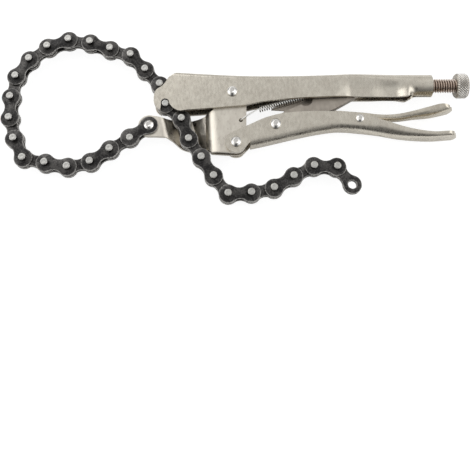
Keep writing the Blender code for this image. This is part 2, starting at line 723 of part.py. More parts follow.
def release_lever():
    """Folded lever: ears round its rivet, a toe on the toggle, a curved tail."""
    reach = LOWER_TAIL_X - LEVER_RIVET_X
    stations = []
    for share, web, edge, width in LEVER_STATION_SHARES:
        stations.append((
            LEVER_RIVET_X + reach * share, -LEVER_RIVET_DROP * (1 - web),
            -LEVER_RIVET_DROP * (1 - edge), LEVER_HALF * width, 0, LEVER_CORNER_RADIUS,
        ))
    shell = channel(stations, LEVER_SHEET)
    tail_half = LEVER_HALF * LEVER_STATION_SHARES[-1][3]
    shell = trim(shell, round_ended(LEVER_RIVET_X - reach, LOWER_TAIL_X, tail_half + TIP_MARGIN,
                                    -HANDLE_RIVET_DROP, CUT_OVERRUN))
    bore = pin_solid(LEVER_RIVET, LEVER_RIVET_RADIUS + GAP, -side_reach(), side_reach())
    return cut(shell, bore)


# Rivets

# Head profiles: radius as a share of the head's, height as a share of its rise
NEAR_HEAD_SHARES = ((1.0, 0.0), (0.94, 0.45), (0.6, 0.86), (0.0, 1.0))
FAR_HEAD_SHARES = ((0.0, 1.0), (0.8, 1.0), (1.0, 0.5), (1.0, 0.0))


def rivet(place, radius, head_radius, dome, seat, far_height):
    """A rivet along Z: shank, domed near head and flatter far head."""
    near = seat + GAP
    profile = [(head_radius * a, -near - far_height * b) for a, b in FAR_HEAD_SHARES]
    profile += [(radius, -near), (radius, near)]
    profile += [(head_radius * a, near + dome * b) for a, b in NEAR_HEAD_SHARES]
    return lathe(profile, Vector(place), Vector((0, 0, 1)), ROUND_SEGMENTS)


# Tension spring

def spring_points():
    """Centre line of the wire: hook through the jaw, coil, hook through the tab."""
    start = Vector((SPRING_START_X, -SPRING_START_DROP, SPRING_SIDE))
    end = Vector((SPRING_END_X, -SPRING_END_DROP, SPRING_SIDE))
    axis = (end - start).normalized()
    up = Vector((0, 0, 1))
    side = up.cross(axis)
    coil = []
    total = SPRING_TURNS * SPRING_POINTS
    for i in range(total + 1):
        turn = 2 * math.pi * i / SPRING_POINTS + math.pi / 2
        ring = side * math.cos(turn) + up * math.sin(turn)
        coil.append(start + (end - start) * (i / total) + ring * SPRING_RADIUS)
    clear = SPRING_WIRE / 2 + GAP
    outside = JAW_HALF + clear
    inside = JAW_HALF - SHEET - clear
    hole = Vector((SPRING_HOLE_X, -SPRING_HOLE_DROP, 0))
    past = (JAW_REAR + SPRING_WIRE - hole.x) / (coil[0].x - hole.x)
    lead = [
        Vector((hole.x, hole.y, inside)),
        Vector((hole.x, hole.y, inside + SPRING_WIRE)),
        Vector((hole.x, hole.y, outside - SPRING_WIRE / 2)),
    ]
    for step in (past / 4, past):
        spot = hole + (coil[0] - hole) * step
        lead.append(Vector((spot.x, spot.y, outside)))
    eye_x, eye_y = anchor_eye()
    tab = SPRING_SIDE + ANCHOR_SHEET / 2 + clear
    back = SPRING_SIDE - ANCHOR_SHEET / 2 - clear
    tail = [
        Vector((eye_x - SPRING_WIRE, eye_y - SPRING_WIRE / 2, tab)),
        Vector((eye_x, eye_y, tab - SPRING_WIRE / 2)),
        Vector((eye_x, eye_y, back)),
    ]
    return lead, coil, tail


def tension_spring(material, frame):
    """One unbroken round wire along the centre line."""
    lead, coil, tail = spring_points()
    points = lead + coil + tail
    gap = least_gap(coil, SPRING_WIRE)
    print("spring: least gap between its curls", round(gap / MM, 3), "mm")
    curve = bpy.data.curves.new("tension_spring", "CURVE")
    curve.dimensions = "3D"
    curve.bevel_depth = SPRING_WIRE / 2
    curve.bevel_resolution = 1
    curve.use_fill_caps = True
    line = curve.splines.new("POLY")
    line.points.add(len(points) - 1)
    for slot, point in zip(line.points, points):
        slot.co = (*point, 1)
    curve.materials.append(material)
    item = bpy.data.objects.new("tension_spring", curve)
    item.parent = frame
    bpy.context.collection.objects.link(item)
    return item


def least_gap(points, wire):
    """Least clear distance between stretches of wire more than half a curl apart."""
    line = np.array([tuple(point) for point in points])
    least = np.inf
    for i in range(len(line) - SPRING_POINTS // 2):
        beyond = line[i + SPRING_POINTS // 2 + 1:]
        if len(beyond):
            least = min(least, float(np.linalg.norm(beyond - line[i], axis=1).min()))
    return least - wire


# Chain

def plate_outline():
    """Waisted link plate about both pins, first pin at the origin, along +X."""
    half = PITCH / 2
    rise = PLATE_RADIUS - PLATE_WAIST
    waist = (half ** 2 + PLATE_WAIST ** 2 - PLATE_RADIUS ** 2) / (2 * rise)
    touch = math.degrees(math.atan2(PLATE_WAIST + waist, half))
    high = (half, PLATE_WAIST + waist)
    low = (half, -PLATE_WAIST - waist)
    points = arc((0, 0), PLATE_RADIUS, touch, 360 - touch, PLATE_END_SEGMENTS)
    points += arc(low, waist, 180 - touch, touch, PLATE_WAIST_SEGMENTS)[1:-1]
    points += arc((PITCH, 0), PLATE_RADIUS, touch - 180, 180 - touch, PLATE_END_SEGMENTS)
    points += arc(high, waist, -touch, touch - 180, PLATE_WAIST_SEGMENTS)[1:-1]
    return points


def link_solid(inside, outside, ends):
    """Two plates and what joins them, as one closed skin.

    Each end is (place along X, kind, radius at the outer faces, radius at the
    inner faces, half length of a pin). A pin is riveted in both plates, a
    bush holds them apart round a bore, and a hole only passes through them.
    """
    mesh = bmesh.new()

    def ring(points, level):
        verts = [mesh.verts.new((x, y, level)) for x, y in points]
        for i, vert in enumerate(verts):
            mesh.edges.new((vert, verts[(i + 1) % len(verts)]))
        return verts

    def wall(one, two):
        for i in range(len(one)):
            after = (i + 1) % len(one)
            mesh.faces.new((one[i], one[after], two[after], two[i]))

    def edges_of(verts):
        pairs = zip(verts, verts[1:] + verts[:1])
        return [mesh.edges.get(pair) for pair in pairs]

    rims = {}
    for side in (1, -1):
        for level in (inside, outside):
            rims[side, level] = ring(plate_outline(), side * level)
        wall(rims[side, inside], rims[side, outside])
    borders = {key: edges_of(verts) for key, verts in rims.items()}
    for along, kind, outer_radius, inner_radius, half in ends:
        radii = {outside: outer_radius, inside: inner_radius}
        loops = {}
        for side, level in rims:
            round_points = circle((along, 0), radii[level], PIN_SEGMENTS)
            loops[side, level] = ring(round_points, side * level)
            borders[side, level] += edges_of(loops[side, level])
        if kind == "hole":
            for side in (1, -1):
                wall(loops[side, inside], loops[side, outside])
        else:
            wall(loops[-1, inside], loops[1, inside])
        if kind == "bush":
            wall(loops[-1, outside], loops[1, outside])
        if kind == "pin":
            for side in (1, -1):
                tip = ring(circle((along, 0), outer_radius, PIN_SEGMENTS), side * half)
                wall(loops[side, outside], tip)
                mesh.faces.new(tip)
    for border in borders.values():
        bmesh.ops.triangle_fill(mesh, use_beauty=True, use_dissolve=False, edges=border)
    bmesh.ops.recalc_face_normals(mesh, faces=mesh.faces)
    return mesh


def outer_link():
    """Two outer plates riveted on their two long pins."""
    ends = [(along, "pin", PIN_RADIUS, PIN_RADIUS, PIN_HALF) for along in (0, PITCH)]
    return link_solid(OUTER_INSIDE, OUTER_HALF, ends)


def first_link():
    """The outer link on the jaw's nose: holes for the rivet and one flush pin."""
    hole = CHAIN_RIVET_RADIUS + BORE_CLEARANCE
    flush = OUTER_HALF + FLUSH_PIN_OVERHANG
    ends = [(0, "hole", hole, hole, 0), (PITCH, "pin", PIN_RADIUS, PIN_RADIUS, flush)]
    return link_solid(OUTER_INSIDE, OUTER_HALF, ends)


def inner_link():
    """Two inner plates held apart by the bushes that run on the pins."""
    bore = PIN_RADIUS + BORE_CLEARANCE
    ends = [(along, "bush", bore, bore + BUSH_WALL, 0) for along in (0, PITCH)]
    return link_solid(INNER_HALF - PLATE_THICKNESS, INNER_HALF, ends)


def chain(material, frame):
    """Every link on its own pin, turned to its heading."""
    first = finished(first_link(), "first_link", material)
    outer = finished(outer_link(), "outer_link", material)
    inner = finished(inner_link(), "inner_link", material)
    for i, heading in enumerate(LINK_HEADINGS):
        kind = "outer" if i % 2 == 0 else "inner"
        data = first if i == 0 else outer if kind == "outer" else inner
        item = bpy.data.objects.new(f"chain_link_{i + 1:02d}_{kind}", data)
        item.location = PINS[i]
        item.rotation_euler = (0, 0, math.radians(heading))
        item.parent = frame
        bpy.context.collection.objects.link(item)


def set_down(frame):
    """Stand the tool on its lowest face, with its outline centred on the origin."""
    bpy.context.view_layer.update()
    graph = bpy.context.evaluated_depsgraph_get()
    low = np.full(3, np.inf)
    high = np.full(3, -np.inf)
    for item in frame.children:
        shown = item.evaluated_get(graph)
        mesh = shown.to_mesh()
        spots = np.empty(len(mesh.vertices) * 3)
        mesh.vertices.foreach_get("co", spots)
        world = np.array(item.matrix_world)
        spots = spots.reshape(-1, 3) @ world[:3, :3].T + world[:3, 3]
        low = np.minimum(low, spots.min(axis=0))
        high = np.maximum(high, spots.max(axis=0))
        shown.to_mesh_clear()
    centre = (low + high) / 2
    frame.location = (-centre[0], -centre[1], -low[2])
    print("overall size", [round(float(size) / MM, 2) for size in high - low], "mm")


def main():
    clear_scene()
    frame = bpy.data.objects.new("tool_frame", None)
    bpy.context.collection.objects.link(frame)
    nickel = metal("satin_nickel_steel", "bcb4a5", 0.38)
    nickel_jaw = metal("satin_nickel_jaw", "c2b9ab", 0.35)
    nickel_lever = metal("satin_nickel_lever", "b8afa1", 0.40)
    screw_steel = metal("zinc_screw_steel", "a9a399", 0.35)
    rivet_steel = metal("bright_rivet_steel", "cfccc4", 0.25)
    wire = metal("spring_wire", "b9b6ae", 0.30)
    black = metal("blackened_chain_steel", "3b3a38", 0.45)

    place(upper_handle(), "upper_handle", nickel, frame)
    place(adjusting_screw(), "adjusting_screw", screw_steel, frame,
          Vector((UPPER_REAR, SCREW_AXIS_HEIGHT, 0)))
    place(lower_jaw(), "lower_jaw", nickel_jaw, frame, JAW_RIVET)
    place(lower_handle(), "lower_handle", nickel, frame, HANDLE_RIVET)
    place(toggle_link(), "toggle_link", nickel_jaw, frame, TOGGLE_RIVET)
    place(release_lever(), "release_lever", nickel_lever, frame, LEVER_RIVET)
    far_height = -REST_FACE - CHANNEL_HALF - GAP
    big = (RIVET_RADIUS, RIVET_HEAD_RADIUS, RIVET_DOME, CHANNEL_HALF, far_height)
    place(rivet(JAW_RIVET, *big), "jaw_rivet", rivet_steel, frame, JAW_RIVET)
    place(rivet(HANDLE_RIVET, *big), "handle_rivet", rivet_steel, frame, HANDLE_RIVET)
    place(rivet(TOGGLE_RIVET, *big), "toggle_rivet", rivet_steel, frame, TOGGLE_RIVET)
    lever_pin = rivet(LEVER_RIVET, LEVER_RIVET_RADIUS, LEVER_RIVET_HEAD_RADIUS,
                      LEVER_RIVET_DOME, CHANNEL_HALF, LEVER_RIVET_DOME)
    place(lever_pin, "lever_rivet", rivet_steel, frame, LEVER_RIVET)
    chain_pin = rivet(CHAIN_RIVET, CHAIN_RIVET_RADIUS, CHAIN_RIVET_HEAD_RADIUS,
                      CHAIN_RIVET_DOME, OUTER_HALF, CHAIN_RIVET_DOME)
    place(chain_pin, "chain_rivet", rivet_steel, frame, CHAIN_RIVET)
    tension_spring(wire, frame)
    chain(black, frame)
    set_down(frame)


main()
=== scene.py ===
# %% [markdown]
# A locking chain clamp, lying on a pale table.
# The imported model gives every piece's place and size, and this file gives the
# finishes, the fine chain, the thread, the knurl and the wound spring. Each new
# piece stands exactly where the plain solid stood, and each rigid one moves with its body.

# %% Load the frame
import json
import math

import bmesh
import bpy
from mathutils import Matrix, Vector


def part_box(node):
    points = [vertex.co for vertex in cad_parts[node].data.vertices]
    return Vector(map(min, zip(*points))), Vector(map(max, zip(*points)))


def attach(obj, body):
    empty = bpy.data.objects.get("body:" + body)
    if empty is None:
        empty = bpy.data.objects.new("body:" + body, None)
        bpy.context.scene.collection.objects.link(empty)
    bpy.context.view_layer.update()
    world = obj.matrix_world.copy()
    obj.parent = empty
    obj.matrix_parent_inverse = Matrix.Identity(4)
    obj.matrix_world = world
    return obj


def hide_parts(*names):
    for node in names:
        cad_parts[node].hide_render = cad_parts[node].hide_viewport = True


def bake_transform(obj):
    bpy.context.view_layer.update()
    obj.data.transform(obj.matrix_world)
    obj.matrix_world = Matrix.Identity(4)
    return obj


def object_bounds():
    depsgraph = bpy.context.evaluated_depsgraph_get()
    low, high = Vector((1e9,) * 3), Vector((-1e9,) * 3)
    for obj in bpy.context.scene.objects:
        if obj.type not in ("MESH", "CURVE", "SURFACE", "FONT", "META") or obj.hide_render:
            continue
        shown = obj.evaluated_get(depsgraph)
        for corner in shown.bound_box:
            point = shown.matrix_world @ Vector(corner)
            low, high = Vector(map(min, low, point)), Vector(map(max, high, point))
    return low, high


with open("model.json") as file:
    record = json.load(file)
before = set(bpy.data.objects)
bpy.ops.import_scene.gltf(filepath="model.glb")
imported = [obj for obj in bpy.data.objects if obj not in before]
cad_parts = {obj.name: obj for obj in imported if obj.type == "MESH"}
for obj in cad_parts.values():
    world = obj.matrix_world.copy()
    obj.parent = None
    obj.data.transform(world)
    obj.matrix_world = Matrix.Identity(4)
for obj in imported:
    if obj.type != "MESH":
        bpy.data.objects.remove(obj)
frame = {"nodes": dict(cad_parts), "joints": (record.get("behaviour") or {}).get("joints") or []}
cad_low, cad_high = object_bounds()
MM = 0.001
print("solids span", [round(v / MM, 1) for v in Vector(cad_high) - Vector(cad_low)], "mm")

# %% [markdown]
# The joints say where the rivets and chain pins stand. The jaw's rivet is the
# point from which the tool was drawn, so other places are measured from it.

# %% Places of the joints
joint_place = {j["name"]: Vector(j["pos_m"]) for j in frame["joints"] if "pos_m" in j}
JAW = joint_place["jaw_pivot"]
LINKS = sorted(name for name in frame["nodes"] if name.startswith("chain_link_"))


def centre(node):
    """Middle of a node's box."""
    low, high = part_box(node)
    return (low + high) / 2


def across(number, known):
    """The other pin centre of a link, whose box is centred between its pins."""
    middle = centre(LINKS[number - 1])
    return Vector((2 * middle.x - known.x, 2 * middle.y - known.y, known.z))


pins = {}
for joint, spot in joint_place.items():
    if joint.startswith("chain_pin_"):
        pins[int(joint.split("_")[2])] = spot
for number in range(1, len(LINKS) + 1):
    if number not in pins and number - 1 in pins:
        pins[number] = across(number, pins[number - 1])


def link_ends(number):
    """Both pin centres of a link."""
    return pins[number - 1], pins[number]


PITCH = (pins[2] - pins[1]).length
print("chain pitch", round(PITCH / MM, 3), "mm,", len(LINKS), "links")

# %% [markdown]
# The camera stands above the tool's near side, looking down at about 70
# degrees. The photograph's frame is square, and the tool sits above its middle,
# which a small vertical shift gives without turning the view.

# %% Camera
CAMERA_TILT = math.radians(19.57)
CAMERA_DISTANCE = 521.16 * MM
CAMERA_TARGET = JAW + Vector((1.97, -17.39, 7.25)) * MM
NEAREST_SEEN = 10 * MM
FRAME_PIXELS = 470
LENS_PIXELS = 745
SENSOR_WIDTH = 36.0
SHIFT_PIXELS = -120.5

camera_data = bpy.data.cameras.new("camera")
camera = bpy.data.objects.new("camera", camera_data)
bpy.context.scene.collection.objects.link(camera)
sight = Vector((0, -math.sin(CAMERA_TILT), math.cos(CAMERA_TILT)))
camera.location = CAMERA_TARGET + sight * CAMERA_DISTANCE
camera.rotation_euler = (CAMERA_TILT, 0, 0)
camera_data.lens = SENSOR_WIDTH * LENS_PIXELS / FRAME_PIXELS
camera_data.sensor_width = SENSOR_WIDTH
camera_data.shift_y = SHIFT_PIXELS / FRAME_PIXELS
camera_data.clip_start = NEAREST_SEEN
bpy.context.scene.camera = camera
bpy.context.scene.view_settings.view_transform = "Standard"
print("camera at", [round(v / MM) for v in camera.location], "mm")

# %% [markdown]
# Materials are small node trees. One helper adds a node, sets what it is told
# and links what it is given. The others are the few nodes that come back in
# most finishes, so that each finish reads as a short recipe.

# %% Helpers for materials


def linear(colour):
    """An sRGB hex triplet as linear red, green and blue."""
    parts = [int(colour[i:i + 2], 16) / 255 for i in (0, 2, 4)]
    return [((c + 0.055) / 1.055) ** 2.4 if c > 0.04045 else c / 12.92 for c in parts]


def add(tree, kind, inputs=None, **settings):
    """Add one node: settings are its options, inputs are values or sockets."""
    node = tree.nodes.new(kind)
    for key, value in settings.items():
        setattr(node, key, value)
    for key, value in (inputs or {}).items():
        if isinstance(value, bpy.types.NodeSocket):
            tree.links.new(value, node.inputs[key])
        else:
            node.inputs[key].default_value = value
    return node


def new_material(name):
    """An empty material and the tree and output to build on."""
    material = bpy.data.materials.new(name)
    material.use_nodes = True
    tree = material.node_tree
    tree.nodes.clear()
    output = add(tree, "ShaderNodeOutputMaterial")
    return material, tree, output


def ramp(tree, value, stops):
    """Colours or greys along a value: stops are (place, linear colour)."""
    node = add(tree, "ShaderNodeValToRGB", {"Fac": value})
    elements = node.color_ramp.elements
    while len(elements) < len(stops):
        elements.new(0.5)
    for element, (place, colour) in zip(elements, stops):
        element.position = place
        element.color = (*colour, 1)
    return node.outputs["Color"]


def grey(level):
    """A grey as red, green and blue."""
    return (level, level, level)


def maths(tree, operation, *values):
    """The result of one operation on values or sockets."""
    return add(tree, "ShaderNodeMath", dict(enumerate(values)), operation=operation).outputs[0]


def mixed_colour(tree, factor, first, second):
    """Between two colours by a factor: they are sockets 6 and 7 of a mix node."""
    node = add(tree, "ShaderNodeMix", {"Factor": factor, 6: first, 7: second}, data_type="RGBA")
    return node.outputs[2]


def noise(tree, place, size_mm, detail, **inputs):
    """Noise whose features are about this many millimetres apart."""
    inputs |= {"Vector": place, "Scale": 1 / (size_mm * MM), "Detail": detail}
    return add(tree, "ShaderNodeTexNoise", inputs).outputs["Fac"]


def mapped(tree, value, low, high, start=0.0, end=1.0):
    """The range from start to end, stretched to the one from low to high."""
    return add(tree, "ShaderNodeMapRange", {
        "Value": value, "From Min": start, "From Max": end, "To Min": low, "To Max": high,
    }).outputs[0]


def surface(tree, output, colour, roughness, metallic=1.0, bump=None):
    """A metal on the output; its bump is a height, a strength and a distance."""
    inputs = {"Base Color": colour, "Metallic": metallic, "Roughness": roughness}
    if bump:
        node = add(tree, "ShaderNodeBump", dict(zip(("Height", "Strength", "Distance"), bump)))
        inputs["Normal"] = node.outputs["Normal"]
    shader = add(tree, "ShaderNodeBsdfPrincipled", inputs)
    tree.links.new(shader.outputs["BSDF"], output.inputs["Surface"])


# %% [markdown]
# Pressed mild steel with bright nickel over a tumbled surface. The plating is
# satin: it spreads reflections, and the tumbling leaves soft streaks and slight
# clouding. Real grit is finer than a pixel, so it is drawn coarse enough to show.

# %% Satin nickel plate
CLOUD_MM = 9
MOTTLE_MM = 1.6
GRIT_MM = 0.3
STREAK = (1.0, 0.45, 0.7)
GRAIN_DEPTH = 0.05 * MM


def satin_nickel(name, colour, cloud, roughness):
    """Plated sheet with wide clouding, streaky mottling and fine grit."""
    material, tree, output = new_material(name)
    place = add(tree, "ShaderNodeTexCoord").outputs["Object"]
    clouds = noise(tree, place, CLOUD_MM, 3.0)
    stretched = add(tree, "ShaderNodeMapping", {"Vector": place, "Scale": STREAK})
    mottle = noise(tree, stretched.outputs["Vector"], MOTTLE_MM, 5.0, Roughness=0.6)
    grit = noise(tree, place, GRIT_MM, 2.0)
    half = maths(tree, "MULTIPLY", maths(tree, "ADD", clouds, mottle), 0.5)
    tint = ramp(tree, half, ((0.38, linear(cloud)), (0.62, linear(colour))))
    rough = mapped(tree, mottle, roughness - 0.05, roughness + 0.07, 0.3, 0.7)
    height = maths(tree, "ADD", mottle, grit)
    surface(tree, output, tint, rough, bump=(height, 0.09, GRAIN_DEPTH))
    return material


nickel_handle = satin_nickel("satin_nickel_handle", "e0dacd", "d2cbbe", 0.27)
nickel_jaw = satin_nickel("satin_nickel_jaw", "e6e0d4", "d9d2c6", 0.31)
# The toggle's copy of the nickel is darker as painted shade, because the toggle sits in the shadow
# between the handles.
shaded_nickel_toggle = satin_nickel("satin_nickel_toggle_painted_shade", "b8b0a5", "a49c92", 0.36)
nickel_lever = satin_nickel("satin_nickel_lever", "e2dbcc", "d0c8b9", 0.25)

# %% [markdown]
# Chain plates are blanked from carbon steel and blackened in a hot salt bath,
# then oiled. The black is thin, so the blanked edges are rubbed back to grey.
# The light rim is partly that wear and partly a painted highlight along the
# edges. It is found from the surface's own direction: a flat face looks
# straight up or down, a wall straight sideways, and only the rim between them.

# %% Blackened chain steel
FLECK_MM = 0.9
OIL_MM = 6
FLECK_DEPTH = 0.08 * MM
RIM_TILTS = (0.12, 0.36, 0.88, 0.985)


def blackened_steel(name, colour, fleck, rim, roughness):
    """Oiled black oxide with fine flecks and a light rim, partly wear and partly painted highlight.
    """
    material, tree, output = new_material(name)
    coordinates = add(tree, "ShaderNodeTexCoord")
    flecks = noise(tree, coordinates.outputs["Object"], FLECK_MM, 5.0)
    clouds = noise(tree, coordinates.outputs["Object"], OIL_MM, 2.0)
    half = maths(tree, "MULTIPLY", maths(tree, "ADD", flecks, clouds), 0.5)
    base = ramp(tree, half, ((0.44, linear(colour)), (0.60, linear(fleck))))
    split = add(tree, "ShaderNodeSeparateXYZ", {0: coordinates.outputs["Normal"]})
    # The rim mask lightens every edge: rubbed wear and a painted highlight.
    rim_wear_and_highlight = ramp(tree, maths(tree, "ABSOLUTE", split.outputs["Z"]), [
        (tilt, grey(level)) for tilt, level in zip(RIM_TILTS, (0, 1, 1, 0))
    ])
    patchy = ramp(tree, flecks, ((0.36, grey(0.25)), (0.56, grey(1))))
    rubbed_rim_and_highlight = maths(tree, "MULTIPLY", rim_wear_and_highlight, patchy)
    tint = mixed_colour(tree, rubbed_rim_and_highlight, base, (*linear(rim), 1))
    surface(tree, output, tint, roughness, 0.75, (flecks, 0.25, FLECK_DEPTH))
    return material


chain_black = blackened_steel("black_oxide_chain_steel", "2a2929", "555351", "e0ddd8", 0.34)

# %% [markdown]
# Pin ends are ground bright, rivets are rolled and plated, and the spring is
# drawn music wire. They share one recipe: a clean metal with a faint grain.

# %% Bright turned and drawn steels


def bright_steel(name, colour, shade, roughness, grain_mm):
    """Clean metal whose grain slightly varies its colour and sheen."""
    material, tree, output = new_material(name)
    place = add(tree, "ShaderNodeTexCoord").outputs["Object"]
    grain = noise(tree, place, grain_mm, 3.0)
    tint = ramp(tree, grain, ((0.35, linear(shade)), (0.65, linear(colour))))
    rough = mapped(tree, grain, roughness - 0.06, roughness + 0.08)
    surface(tree, output, tint, rough, bump=(grain, 0.08, GRAIN_DEPTH))
    return material


pin_end_steel = bright_steel("ground_pin_end_steel", "cfceca", "b4b3ae", 0.42, 0.5)
rivet_steel = bright_steel("plated_rivet_steel", "f4f2ee", "e2dfda", 0.12, 1.2)
spring_steel = bright_steel("drawn_spring_wire", "f2f1ee", "e0dfdb", 0.30, 0.6)

# %% [markdown]
# The roots of the thread and the grooves of the knurl get a painted shade. How
# deep a place lies is its distance from the screw's axis, so the colour goes
# from a shaded groove to a bright crest with that distance.

# %% Grooved screw steel
screw_low, screw_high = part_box("adjusting_screw")
SCREW_AXIS = Vector((0, (screw_low.y + screw_high.y) / 2, (screw_low.z + screw_high.z) / 2))
TURNED_MM = 0.8


def grooved_steel(name, crest, groove, high, low, roughness):
    """Turned steel with painted shade: dark below the low radius and bright above the high one."""
    material, tree, output = new_material(name)
    place = add(tree, "ShaderNodeTexCoord").outputs["Object"]
    from_axis = add(tree, "ShaderNodeVectorMath", {0: place, 1: SCREW_AXIS}, operation="SUBTRACT")
    arm = add(tree, "ShaderNodeVectorMath", {
        0: from_axis.outputs[0], 1: (0, 1, 1),
    }, operation="MULTIPLY")
    radius = add(tree, "ShaderNodeVectorMath", {0: arm.outputs[0]}, operation="LENGTH")
    height = mapped(tree, radius.outputs["Value"], 0.0, 1.0, low, high)
    tint = ramp(tree, height, ((0.0, linear(groove)), (1.0, linear(crest))))
    grain = noise(tree, place, TURNED_MM, 3.0)
    rough = mapped(tree, grain, roughness - 0.06, roughness + 0.08)
    surface(tree, output, tint, rough)
    return material


THREAD_RADIUS = 5.0 * MM
THREAD_DEPTH = 1.0 * MM
KNOB_RADIUS = (screw_high.z - screw_low.z) / 2
KNURL_DEPTH = 0.75 * MM
FULL_CREST_DEPTH = 0.1 * MM
# The grooves of the thread and the knurl are darkened as painted shade.
screw_steel = grooved_steel(
    "zinc_plated_screw_steel", "f3e4d8", "6e6056",
    THREAD_RADIUS, THREAD_RADIUS - THREAD_DEPTH, 0.26,
)
knob_steel = grooved_steel(
    "zinc_plated_knob_steel", "ffffff", "b2aca2",
    KNOB_RADIUS - FULL_CREST_DEPTH, KNOB_RADIUS - KNURL_DEPTH, 0.32,
)
print("materials", len(bpy.data.materials))

# %% [markdown]
# Every rigid piece goes through one function: it takes its finish, turns smooth
# but for its sharp edges, and rides on the body whose solid it stands for.

# %% Finishing a piece
WELD = 0.002 * MM
SMOOTH_ANGLE = math.radians(32)


def new_object(mesh, name, material):
    """A smooth object of a shape, in its finish."""
    data = bpy.data.meshes.new(name)
    mesh.to_mesh(data)
    mesh.free()
    data.materials.append(material)
    data.shade_smooth()
    piece = bpy.data.objects.new(name, data)
    bpy.context.scene.collection.objects.link(piece)
    return piece


def finish_object(mesh, name, material, body, slot, *nodes):
    """Make a finished piece: smooth, in its finish, on its body, for its nodes."""
    piece = new_object(mesh, name, material)
    piece.data.set_sharp_from_angle(angle=SMOOTH_ANGLE)
    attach(piece, body)
    if nodes:
        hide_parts(*nodes)
    return piece


# %% [markdown]
# The pressed parts are drawn again in millimetres round the jaw's rivet, with
# flowing curves where the plain solids have a few straight steps. A curve
# through the drawn points gives each outline its in-between points.

# %% Outlines


def arc(middle, radius, start, end, steps):
    """Points on an arc, angles in degrees."""
    points = []
    for i in range(steps + 1):
        turn = math.radians(start + (end - start) * i / steps)
        points.append((middle[0] + radius * math.cos(turn), middle[1] + radius * math.sin(turn)))
    return points


def flowing(points, steps):
    """A smooth curve through points of any dimension, with steps to each span."""
    rows = [tuple(2 * a - b for a, b in zip(points[0], points[1]))] + list(points)
    rows.append(tuple(2 * a - b for a, b in zip(points[-1], points[-2])))
    knots = [0.0]
    for one, two in zip(rows, rows[1:]):
        knots.append(knots[-1] + math.dist(one, two) ** 0.5)
    curve = [tuple(points[0])]
    for i in range(1, len(rows) - 2):
        t0, t1, t2, t3 = knots[i - 1:i + 3]
        for step in range(1, steps + 1):
            t = t1 + (t2 - t1) * step / steps

            def between(a, b, low, high):
                return [(x * (high - t) + y * (t - low)) / (high - low) for x, y in zip(a, b)]

            a1 = between(rows[i - 1], rows[i], t0, t1)
            a2 = between(rows[i], rows[i + 1], t1, t2)
            a3 = between(rows[i + 1], rows[i + 2], t2, t3)
            b1 = between(a1, a2, t0, t2)
            b2 = between(a2, a3, t1, t3)
            curve.append(tuple(between(b1, b2, t1, t2)))
    return curve


def eased(value, start=0, end=1):
    """A smooth step from 0 to 1 while a value goes from start to end."""
    step = min(max((value - start) / (end - start), 0), 1)
    return step * step * (3 - 2 * step)


def part_way(pair, share):
    """The value a share of the way from the first of a pair to the second."""
    return pair[0] + (pair[1] - pair[0]) * share


# %% [markdown]
# An outline becomes a solid when its face is filled and extruded. Holes and
# trims are booleans with such solids: the exact solver keeps a clean edge where
# a hole meets a bend, which would be hard to cut by hand.

# %% Solids and cuts
HOLE_STEPS = 48
THROUGH = 60
CUT = 14
PAST = 6


def prism(outline, low, high):
    """The outline in X and Y, filled and extruded from low to high."""
    mesh = bmesh.new()
    floor = mesh.faces.new([mesh.verts.new((x, y, low)) for x, y in outline])
    lifted = bmesh.ops.extrude_face_region(mesh, geom=[floor])
    top = [item for item in lifted["geom"] if isinstance(item, bmesh.types.BMVert)]
    bmesh.ops.translate(mesh, vec=(0, 0, high - low), verts=top)
    bmesh.ops.recalc_face_normals(mesh, faces=mesh.faces)
    return mesh


def plan_prism(outline, low, high):
    """The outline in X and Z, extruded along Y."""
    mesh = prism(outline, low, high)
    for vert in mesh.verts:
        vert.co = (vert.co.x, vert.co.z, vert.co.y)
    bmesh.ops.recalc_face_normals(mesh, faces=mesh.faces)
    return mesh


def drill(spot, radius, low=-THROUGH, high=THROUGH):
    """A round bar that cuts a hole."""
    return prism(arc(spot, radius, 0, 360 - 360 / HOLE_STEPS, HOLE_STEPS - 1), low, high)


def combine(base, others, operation):
    """Unite, cut or trim one shape by others, in order."""
    mesh = bpy.data.meshes.new("base")
    base.to_mesh(mesh)
    base.free()
    for other in others:
        body = bpy.data.objects.new("base", mesh)
        tool_mesh = bpy.data.meshes.new("tool")
        other.to_mesh(tool_mesh)
        other.free()
        tool = bpy.data.objects.new("tool", tool_mesh)
        for item in (body, tool):
            bpy.context.scene.collection.objects.link(item)
        modifier = body.modifiers.new("combine", "BOOLEAN")
        modifier.operation = operation
        modifier.solver = "EXACT"
        modifier.object = tool
        bpy.context.view_layer.update()
        graph = bpy.context.evaluated_depsgraph_get()
        mesh = bpy.data.meshes.new_from_object(body.evaluated_get(graph))
        for item in (body, tool):
            bpy.data.objects.remove(item, do_unlink=True)
    result = bmesh.new()
    result.from_mesh(mesh)
    return result


# %% [markdown]
# A handle like this starts as a flat blank that a press folds to a channel. The
# loft follows that: each section is a channel with its sheet's thickness, and
# faces from one section to the next make the long flowing sheet.

# %% A folded channel
BEND_STEPS = 12
WALL_ROWS = 8
TALLEST_BEND_SHARE = 0.8
LEAST_BEND_SHARE = 0.15
SLIT_HALF = 0.4


